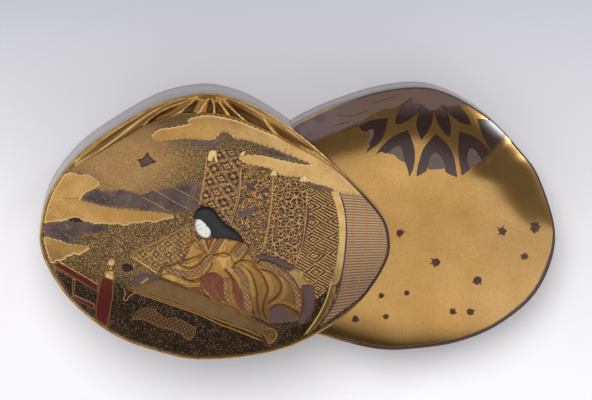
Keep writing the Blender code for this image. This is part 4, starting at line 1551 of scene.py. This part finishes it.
def makeRoom(left):
    values = roomValues
    floor, ground = values["floor"]
    floors = [curvePoints(floor, True, 2), ground]
    skin("verandaFloor", left, floors, floorLook(), rise=0.02, spacing=0.6)
    skin("rail", left, values["rail"][:3], railLook(), base=0.03, rise=0.25, spacing=0.3, sink=0.08)
    skin("railPost", left, values["rail"][3:], railLook(), base=0.1, rise=0.3, edge=0.35, spacing=0.3,
         sink=0.15)
    caps = values["cup"] + [disc(*knob) for knob in values["knobs"]]
    skin("finial", left, caps, paleLineLook(), base=0.1, rise=0.5, edge=0.8, spacing=0.25, sink=0.15)
    skin("inkBox", left, values["inkBox"], darkLook(), smooth=3, rise=0.15, edge=0.5, spacing=0.3)
    skin("cloth", left, values["cloth"], lilacLook(), smooth=2, rise=0.12, edge=0.4)
    skin("leaf", left, values["leaf"], bandLook(), smooth=2, base=0.12, rise=0.1, spacing=0.3)
    skin("zither", left, values["zither"], zitherLook(), smooth=2, base=0.03, rise=0.3, edge=0.4,
         spacing=0.4, sink=0.08)
    skin("zitherEnd", left, values["zitherEnd"], bandLook(), smooth=2, base=0.3, rise=0.1, edge=0.4,
         spacing=0.3, sink=0.1)
    strands("zitherLines", left, withWidth(values["zitherLines"], 0.32), lineLook(), base=0.2, rise=0.18)
    strands("zitherFoot", left, withWidth(values["zitherFoot"], 0.3), lineLook(), rise=0.08)
    ends = [end + end[:1] for end in values["zitherEnd"]] + values["zitherCurl"]
    strands("zitherEndLine", left, withWidth(ends, 0.17), lineLook(), base=0.42)
    skin("book", left, values["book"], bookLook(), smooth=2, rise=0.2, edge=0.5, spacing=0.4)


# The figure in court dress, with a face of its own plain design

figureValues = {
    "furrow": (0.42, 0.15),  # half width and depth
    "crest": (0.8, 0.1),  # half width and height
    "robe": [
        [(-7.3, -8.5), (-6.4, -6.3), (-5.4, -4.3), (-4.2, -3.5), (-2, -3.4), (0.8, -3.2), (3.4, -3.2),
         (6.6, -4.2), (7.7, -5.2), (7.8, -6.8), (9.9, -9), (12, -8.9), (14.4, -9.5), (16.9, -11),
         (18.8, -13.2), (20.5, -15.6), (21.2, -18), (20.5, -21.3), (19.3, -22.9), (14.9, -23.6),
         (12.4, -23.6), (10.7, -22.4), (8.3, -22), (5.8, -20.6), (2.8, -19.4), (0.4, -18.3), (-3.3, -16.4),
         (-8.1, -14.6), (-12.9, -12.6), (-12.8, -11.8), (-12, -10.2), (-9.9, -9.6)],
    ],
    "gold": [
        [(-7.3, -8.3), (-6.4, -6.3), (-5.4, -4.3), (-4.4, -5.2), (-2.5, -6.3), (-1.7, -7.1), (-3, -7.6),
         (-5.4, -8.2)],
        [(-8.7, -9.3), (-6.6, -9.1), (-4.9, -8.4), (-3.2, -7.4), (-1.9, -6.8), (-2.1, -8), (-3.1, -9.2),
         (-4.7, -10.2), (-6.3, -10.2), (-7.8, -9.9)],
        [(-12.9, -12.2), (-11.8, -11.6), (-10.6, -11.4), (-8.7, -12.4), (-6.3, -13.3), (-4.4, -13.5),
         (-2.9, -13), (-3.4, -14.5), (-5.9, -14.7), (-9, -14), (-11.6, -13)],
        [(3.5, -3.5), (6.3, -4.2), (4.5, -6.2), (2.9, -7.4), (1.9, -7), (1.7, -5.9), (2.5, -4.6)],
    ],
    "lining": [
        [(0.2, -3.5), (2.4, -3.5), (1.5, -5.3), (0, -6.9), (-1.2, -7), (-0.7, -5.4)],
    ],
    "red": [
        [(-8.3, -14.2), (-5.9, -14.9), (-3.4, -14.6), (-3.3, -16), (-4.7, -16.1), (-6.8, -15.2)],
        [(-3, -13.5), (-2.5, -12.1), (-1.5, -11.4), (0.3, -11.3), (1.5, -12.2), (2.1, -14.3), (2.2, -16.4),
         (2.1, -18.5), (0.2, -18.2), (-1.7, -16.8), (-2.8, -15.2)],
        [(5.3, -13.8), (6.2, -14.9), (6.7, -16.8), (7.1, -21), (5.6, -20.3), (4.2, -17.8), (4.4, -15.5)],
    ],
    "trims": [
        ([(-11.9, -10), (-10.1, -11), (-7.3, -11.8), (-4.8, -11.6), (-2.8, -10), (-1.6, -8.2),
          (0, -7.4)], 1.7),
        ([(7.7, -4.8), (6.3, -5.9), (4.7, -7.7)], 1.8),
        ([(4.5, -10.2), (6.3, -12.3), (7.2, -14.3), (7.4, -16.8), (8.5, -20.9)], 1.9),
        ([(2.7, -12.5), (2.6, -14.3), (2.7, -16.4), (3.6, -18.9)], 1.5),
        ([(10.2, -9.1), (12.9, -9.8), (15.9, -11.4), (18.1, -13.6), (19.5, -16.5), (19.8, -18.8),
          (19.7, -20.8)], 1.6),
        ([(-5.5, -1.5), (-4.2, -3.8), (-3, -5.4), (-2.1, -6.1)], 1.1),
    ],
    "folds": [
        ([(6.3, -9.5), (8.6, -11.6), (9.5, -13.9), (10, -16.2), (10, -18.2), (10.6, -21.6)], 0.16),
        ([(9, -9.8), (11.1, -11.8), (12.2, -13.9), (12.6, -15.9), (11.7, -18.2), (11.5, -20.4),
          (12.2, -22.6)], 0.18),
        ([(10.7, -10.7), (13.4, -11.4), (15.6, -13.7), (15.6, -15.9), (14, -17.7), (12.7, -18.4)], 0.16),
        ([(10, -9.1), (13.4, -10.2), (16.6, -12.5), (18.6, -15.2), (19.3, -18.1), (19.7, -21.2)], 0.14),
        ([(4.1, -10), (5.9, -11.4), (7.2, -13.7), (7.8, -16.6), (8.6, -19.3), (9.7, -22.2)], 0.16),
        ([(3.2, -11.3), (4.7, -13.2), (5.4, -15.5), (5.1, -17.5)], 0.14),
        ([(1.8, -10.2), (3.2, -11.6), (4.5, -13.9), (4.3, -16.6), (5.4, -19.3), (6.7, -21.1)], 0.18),
        ([(-3, -11.8), (-3.2, -13.9), (-2.8, -16.1), (-1.7, -17.5)], 0.14),
        ([(1.5, -12.5), (2, -14.8), (1.7, -17.1), (2.4, -18.2)], 0.14),
        ([(-7.1, -8.6), (-4.8, -7.7), (-2.1, -6.7)], 0.14),
        ([(-8.3, -9.5), (-6, -10.5), (-3.7, -9.3), (-2.1, -7.7), (0.2, -7.2), (2.4, -6.8), (3.8, -7.7),
          (4.5, -9.3)], 0.16),
        ([(-8.3, -12.2), (-5.8, -13.3), (-3, -12.6), (-1.4, -10.9), (-0.5, -9.3)], 0.16),
        ([(6.3, -4.1), (4.5, -5.6), (3.8, -6.8)], 0.14),
        ([(7.7, -6.6), (6.3, -8.4), (4.5, -9.5)], 0.14),
        ([(4.5, -9.8), (6.3, -8.6), (8.6, -8.9), (10, -10.2)], 0.14),
        ([(12.9, -20.2), (14.5, -19.1), (16.3, -19.1), (18.6, -20.1), (19.9, -21.2)], 0.14),
    ],
    "glows": [
        ([(6.8, -9.8), (8.4, -12.1), (9, -14.3), (9.3, -16.6)], 0.28),
        ([(11.1, -11.2), (12.7, -13), (13.4, -14.8), (13.1, -16.6)], 0.28),
        ([(3.8, -11.1), (5.4, -13.2), (5.9, -15.5)], 0.26),
        ([(-0.3, -12.9), (-0.3, -15), (0.6, -16.8), (1.7, -17.9)], 0.24),
        ([(-1.7, -14.8), (-1.5, -16.6), (-0.1, -18.2), (1.5, -18.9)], 0.24),
        ([(4.5, -15.7), (4.5, -17.5), (5.6, -19.7), (6.6, -20.9)], 0.24),
        ([(2.7, -4), (2, -5.4), (1.5, -6.7)], 0.26),
        ([(15.9, -13), (16.6, -15.2), (15.9, -17.3), (13.8, -18.6)], 0.24),
        ([(0.4, -7.9), (1.3, -7.5), (2.4, -7.7), (1.8, -8.8), (2.7, -9.3), (3.6, -8.4), (3.2, -7.5)], 0.3),
        ([(0.9, -8.8), (1.8, -10), (3.2, -9.8), (4.1, -8.8), (3.8, -7.9)], 0.28),
        ([(14.7, -18.6), (17, -18.6), (19, -19.7)], 0.22),
    ],
    "collar": [
        ([(-2.9, -3.3), (-2.2, -4.9), (-1.6, -6.5)], 0.45),
        ([(0.2, -3.2), (-0.6, -4.9), (-1.4, -6.4)], 0.45),
    ],
    "collarRed": [
        ([(-1.9, -3.5), (-1.7, -4.7), (-1.4, -5.9)], 0.7),
        ([(-0.6, -3.3), (-1, -4.7), (-1.4, -5.9)], 0.6),
    ],
    "lilac": [
        [(20.4, -14.4), (21.8, -14.2), (23.4, -14.4), (23.8, -16.2), (23.7, -18.7), (22.8, -21.3),
         (21.5, -22.8), (20.6, -23.6), (19.4, -22.7), (20.6, -21.1), (21.1, -18.5), (20.8, -16.1)],
        [(13, -20), (15.2, -19), (17.3, -20.3), (19.4, -22.3), (19, -23.1), (16.9, -23.3), (14.3, -23.6),
         (12.5, -23.6)],
        [(9.8, -8.2), (11, -7.4), (13.4, -7.5), (15.7, -8.2), (18, -9.4), (19, -10.5), (17.6, -10.9),
         (15.9, -10.3), (13.8, -9.2), (11.7, -8.7)],
    ],
    "hands": [
        [(0.1, -7.6), (1, -7.2), (2.4, -7.4), (3.7, -7), (4.2, -7.6), (4, -8.6), (3.3, -9.2), (3.7, -10),
         (2.8, -10.4), (2.2, -11.2), (1.5, -10.6), (0.9, -9.9), (0.5, -9), (-0.2, -8.6)],
    ],
    "paper": [
        [(17.3, -11.3), (19.5, -10.5), (21.1, -12.3), (22.6, -14.2), (20, -14.9), (18.7, -13)],
    ],
    "hair": [
        [(-4.9, 1.3), (-4.6, 2.9), (-3.7, 4), (-2.6, 4.4), (-1.1, 4.2), (0.2, 3.3), (1.7, 1.2), (2.9, 0),
         (4.7, -1.1), (5.9, -2.3), (6.7, -3.5), (6.9, -4.3), (5.1, -4), (3.2, -3.5), (1.5, -3.4),
         (0.2, -3.5), (-0.6, -2.9), (-1.6, -1), (-3, 0.6), (-4.2, 1.2)],
    ],
    "hairLight": [
        ([(-4.4, 2.9), (-2.3, 2.6), (-0.6, 0.6), (1.6, -1.4), (4, -2.6)], 0.8),
    ],
    "head": {"place": (-2.6, -0.7), "tilt": 20.0, "width": 4.1, "height": 5.6, "steps": 32,
             "temples": 0.98, "jaw": 0.22},
    "brow": ((0.2, 0.3), (0.42, 0.37), (0.66, 0.28)),
    "eye": ((0.18, 0.03), (0.4, -0.05), (0.62, 0.03)),
    "nose": ((0.05, -0.05), (0.1, -0.28), (-0.04, -0.35)),
    "mouth": ((-0.2, -0.56), (0, -0.545), (0.2, -0.56)),
}


def robeLook():
    # Gold silk with painted shade in its furrows and a painted highlight on its crests, lighter towards the
    # top and brighter on the sleeve at the left
    look = Look("robe_gold", roughness=0.36, metallic=0.55)
    streak = look.noise(0.9, 4)
    height = (look.y - look.x * 0.35).ramp(-17, -3)
    look.paint(
        (127, 94, 48),
        (height, (184, 135, 68)),
        (look.x.ramp(-24, -28) * 0.5, (224, 178, 106)),
        (streak.ramp(0.45, 0.6) * 0.45, (128, 90, 44)),
        (look.edge(1, 2) * (0.16 + height * 0.56), (236, 194, 120)),
        (look.edge(1, 0), (88, 54, 28)),
    )
    look.bump(streak, 0.12)
    return look


def trimLook():
    # Narrow brocade of small crossed figures
    look = Look("trim_brocade", roughness=0.42, metallic=0.2)
    u, v = lozenges(look, 90, 45, 0.8)[:2]
    figure = abs(u).most(abs(v)).ramp(0.3, 0.4).most((abs(u) + abs(v)).ramp(0.24, 0.14))
    figure = figure * (0.35 + look.noise(2.5).ramp(0.35, 0.55) * 0.65)
    look.paint((74, 44, 37), (figure, (180, 138, 82)), (look.edge(0.2, 0.1), (86, 48, 38)))
    return look


def redLook():
    look = Look("red_silk", roughness=0.38, specular=0.3)
    look.paint(
        (116, 68, 48),
        (look.patches(0.8), (96, 50, 34)),
        (look.edge(0.22, 0.1) * 0.6, (147, 101, 58)),
    )
    return look


def foldLook():
    return twoTone("fold_brown", 1, (104, 58, 34), (82, 44, 30), roughness=0.45)


def liningLook():
    # Brown silk with fine gold lines
    look = Look("lining_silk", roughness=0.42, metallic=0.2)
    look.paint((92, 54, 36), (look.lines(-36, 0.55, 0.4), (156, 116, 66)))
    return look


def hairLook():
    look = Look("hair_black", roughness=0.3)
    strand = look.lines(50, 0.3, 0.1, bend=look.noise(0.6, 1) * 0.6)
    look.paint((24, 22, 24), (strand * 0.4, (44, 44, 48)))
    return look


def hairLightLook():
    return twoTone("hair_sheen", 0.8, (38, 38, 42), (56, 56, 62), roughness=0.3)


def faceLook():
    look = Look("face_white", roughness=0.5)
    look.paint(
        (176, 172, 166),
        (look.edge(0, 0.6), (230, 229, 224)),
        (look.noise(1.2) * 0.12, (190, 180, 166)),
    )
    return look


def featureLook():
    return twoTone("face_lines", 2, (58, 50, 48), (76, 66, 62), roughness=0.5)


def mouthLook():
    return twoTone("face_mouth", 2, (150, 50, 44), (132, 42, 38), roughness=0.5)


def makeFace(left):
    head = figureValues["head"]
    turn = math.radians(head["tilt"])
    middle = Vector(head["place"])

    def placed(u, v):
        # u from -1 to 1 across the face, v from -1 at the chin to 1 at the crown
        x, y = u * head["width"] / 2, v * head["height"] / 2
        turned = (x * math.cos(turn) - y * math.sin(turn), x * math.sin(turn) + y * math.cos(turn))
        return middle + Vector(turned)

    outline = []
    for k in range(head["steps"]):
        angle = math.tau * k / head["steps"]
        u, v = math.cos(angle), math.sin(angle)
        outline.append(placed(u * (head["temples"] if v > 0 else 1 - head["jaw"] * v * v), v))
    skin("face", left, [outline], faceLook(), base=0.2, rise=0.4, edge=1.2, spacing=0.25, sink=0.2)
    strokes = []
    for side in (-1, 1):
        for feature, width in (("brow", 0.26), ("eye", 0.34)):
            strokes.append(([placed(side * u, v) for u, v in figureValues[feature]], width))
    strokes.append(([placed(u, v) for u, v in figureValues["nose"]], 0.18))
    strands("faceLines", left, strokes, featureLook(), base=0.58, rise=0.05)
    mouth = [placed(u, v) for u, v in figureValues["mouth"]]
    strands("faceMouth", left, [(mouth, 0.44)], mouthLook(), base=0.56)


def makeFigure(left):
    values = figureValues
    folds, glows = [[curvePoints(path, False, 3) for path, width in values[kind]]
                    for kind in ("folds", "glows")]
    furrowWidth, furrowDepth = values["furrow"]
    crestWidth, crestHeight = values["crest"]

    def drape(place, gap):
        # Furrows along the dark lines and soft crests along the light ones; the mark carries their painted
        # shade and painted highlight
        point = place - left.middle
        depth = max(0.0, 1 - min(segmentGap(point, fold)[0] for fold in folds) / furrowWidth)
        swell = max(0.0, 1 - min(segmentGap(point, glow)[0] for glow in glows) / crestWidth)
        mark = min(gap / 0.2, 1.0) * (1 - 0.6 * depth) + swell * (1 - depth)
        return crestHeight * swell - furrowDepth * depth, mark

    def smoothBright(place, gap):
        # The hands' mark: a painted highlight that grows in from a darker border
        return 0.0, 0.9 + min(gap, 0.8)

    skin("robe", left, values["robe"], robeLook(), smooth=3, rise=0.42, edge=0.8, spacing=0.3, sink=0.06,
         shape=drape)
    skin("lilacTrain", left, values["lilac"], lilacLook(), smooth=2, base=0.1, rise=0.36, edge=0.6,
         spacing=0.4, sink=0.12)
    skin("robePanels", left, values["gold"], robeLook(), smooth=3, base=0.42, rise=0.16, edge=0.8,
         spacing=0.3, sink=0.05, shape=drape)
    skin("lining", left, values["lining"], liningLook(), smooth=2, base=0.42, rise=0.1, spacing=0.3)
    skin("redSilk", left, values["red"], redLook(), smooth=2, base=0.36, rise=0.2, edge=0.7, spacing=0.3,
         sink=0.05)
    strands("collarRed", left, values["collarRed"], redLook(), base=0.5, rise=0.1)
    bands = [ribbon(path, width) for path, width in values["trims"]]
    skin("trims", left, bands, trimLook(), base=0.42, rise=0.2, edge=0.5, spacing=0.3, sink=0.1)
    strands("folds", left, values["folds"], foldLook(), base=0.44, rise=0.1)
    strands("glows", left, values["glows"] + values["collar"], lineLook(), base=0.54, rise=0.12)
    skin("hands", left, values["hands"], robeLook(), smooth=3, base=0.42, rise=0.22, edge=0.9, spacing=0.3,
         sink=0.1, shape=smoothBright)
    skin("paper", left, values["paper"], bandLook(), smooth=2, base=0.1, rise=0.2, spacing=0.4)
    skin("hair", left, values["hair"], hairLook(), smooth=3, base=0.3, rise=0.6, edge=1.1, spacing=0.3,
         sink=0.3)
    strands("hairSheen", left, values["hairLight"], hairLightLook(), base=0.85, rise=0.08)
    makeFace(left)


# Stage, light and camera

stageValues = {
    "size": 3.0,
    "cameraPlace": (-0.0429, 0.1294, 1.2),
    "cameraTarget": (0.0001, 0.003, 0.0),
    "lens": 302.5,
    "farthest": 10.0,
    "sunStrength": 1.78,
    "sunAngle": 32.0,
    "sunDirection": (0.12, -0.4, -1.0),
    "frontLight": 0.72,
    "backLight": 0.1,
    "windowLight": 12.0,
    "sideLight": 0.55,
}


def makeFloor():
    half = stageValues["size"] / 2
    mesh = bpy.data.meshes.new("stageFloor")
    mesh.from_pydata([(-half, -half, 0), (half, -half, 0), (half, half, 0), (-half, half, 0)], [],
                     [(0, 1, 2, 3)])
    look = Look("stage_paper", roughness=0.9, specular=0.0)
    # Painted shade on the floor: darker and bluer towards +y, and a little darker towards +x
    aside = look.x.ramp(-40, 70) * look.y.ramp(-60, -10)
    look.paint((250, 249, 252), (look.y.ramp(-4, 52), (198, 199, 206)), (aside * 0.3, (204, 204, 210)))
    mesh.materials.append(look.material)
    addObject("stageFloor", mesh)


def makeSky():
    # A soft studio: bright overhead and in front, dark behind, pale again low down at the back
    world = bpy.data.worlds.new("studio")
    world.use_nodes = True
    bpy.context.scene.world = world
    sky = Nodes(world.node_tree)
    x, y, z = sky.axes(sky.node("ShaderNodeTexCoord", {}, {}, "Generated"))
    limit = 0.28 - x.ramp(-0.02, -0.14) * 0.03 - x.ramp(0.18, 0.62) * 0.33 + x.ramp(0.65, 0.8) * 0.06
    behind = (y - limit).ramp(-0.025, 0.025)
    front = stageValues["frontLight"] + z.ramp(0.985, 0.999) * 0.12 + y.ramp(-0.2, -0.5) * 0.14
    front = front + y.ramp(-0.1, -0.06) * x.ramp(-0.06, 0.04) * 0.11
    under = (y + x * 0.45 + x.ramp(-0.28, -0.42) * 0.4).ramp(-0.86, -0.58)
    front = front * (0.03 + under * 0.97)
    slope = y / x.most(0.01)
    side = x.ramp(0.45, 0.6)
    low = z.ramp(0.66, 0.2)
    window = slope.ramp(0.67, 0.73) * slope.ramp(1.07, 0.94) * low * low * side * stageValues["windowLight"]
    edge = z.ramp(0.5, 0.15)
    glow = slope.ramp(1.5, 1.1) * slope.ramp(0, 0.7) * edge * side * stageValues["sideLight"]
    back = stageValues["backLight"] + x.ramp(0.5, 0.75) * 0.03 + edge * 0.03 + window + glow
    light = front + (back - front) * behind
    colour = sky.node("ShaderNodeCombineXYZ", {}, dict.fromkeys("XYZ", light))
    sky.feed(world.node_tree.nodes["Background"].inputs["Color"], colour)


def makeLights():
    # A broad soft light from above, kept out of the gloss
    data = bpy.data.lights.new("key", "SUN")
    data.energy = stageValues["sunStrength"]
    data.angle = math.radians(stageValues["sunAngle"])
    sun = addObject("key", data)
    sun.rotation_euler = Vector(stageValues["sunDirection"]).to_track_quat("-Z", "Y").to_euler()
    sun.visible_glossy = False


def makeCamera():
    data = bpy.data.cameras.new("camera")
    data.lens = stageValues["lens"]
    data.clip_end = stageValues["farthest"]
    camera = addObject("camera", data)
    place = Vector(stageValues["cameraPlace"])
    back = (place - Vector(stageValues["cameraTarget"])).normalized()
    side = Vector((0, 1, 0)).cross(back).normalized()
    turn = Matrix((side, back.cross(side), back)).transposed()
    camera.matrix_world = Matrix.Translation(place) @ turn.to_4x4()
    bpy.context.scene.camera = camera


def main():
    bpy.context.scene.view_settings.view_transform = "Standard"
    left, right = shellsInPlace()
    looks = [wallLook(), rimLook(), insideLook()]
    print("box body")
    makeLid(left, right, looks)
    makeBase(left, right, looks)
    print("dish and hinge")
    makeGround(left)
    makeHinge(left)
    print("dome")
    makeDome(left, right)
    print("clouds and curtains")
    makeClouds(left)
    makeCurtains(left)
    print("veranda and figure")
    makeRoom(left)
    makeFigure(left)
    print("stage")
    makeFloor()
    makeSky()
    makeLights()
    makeCamera()


main()
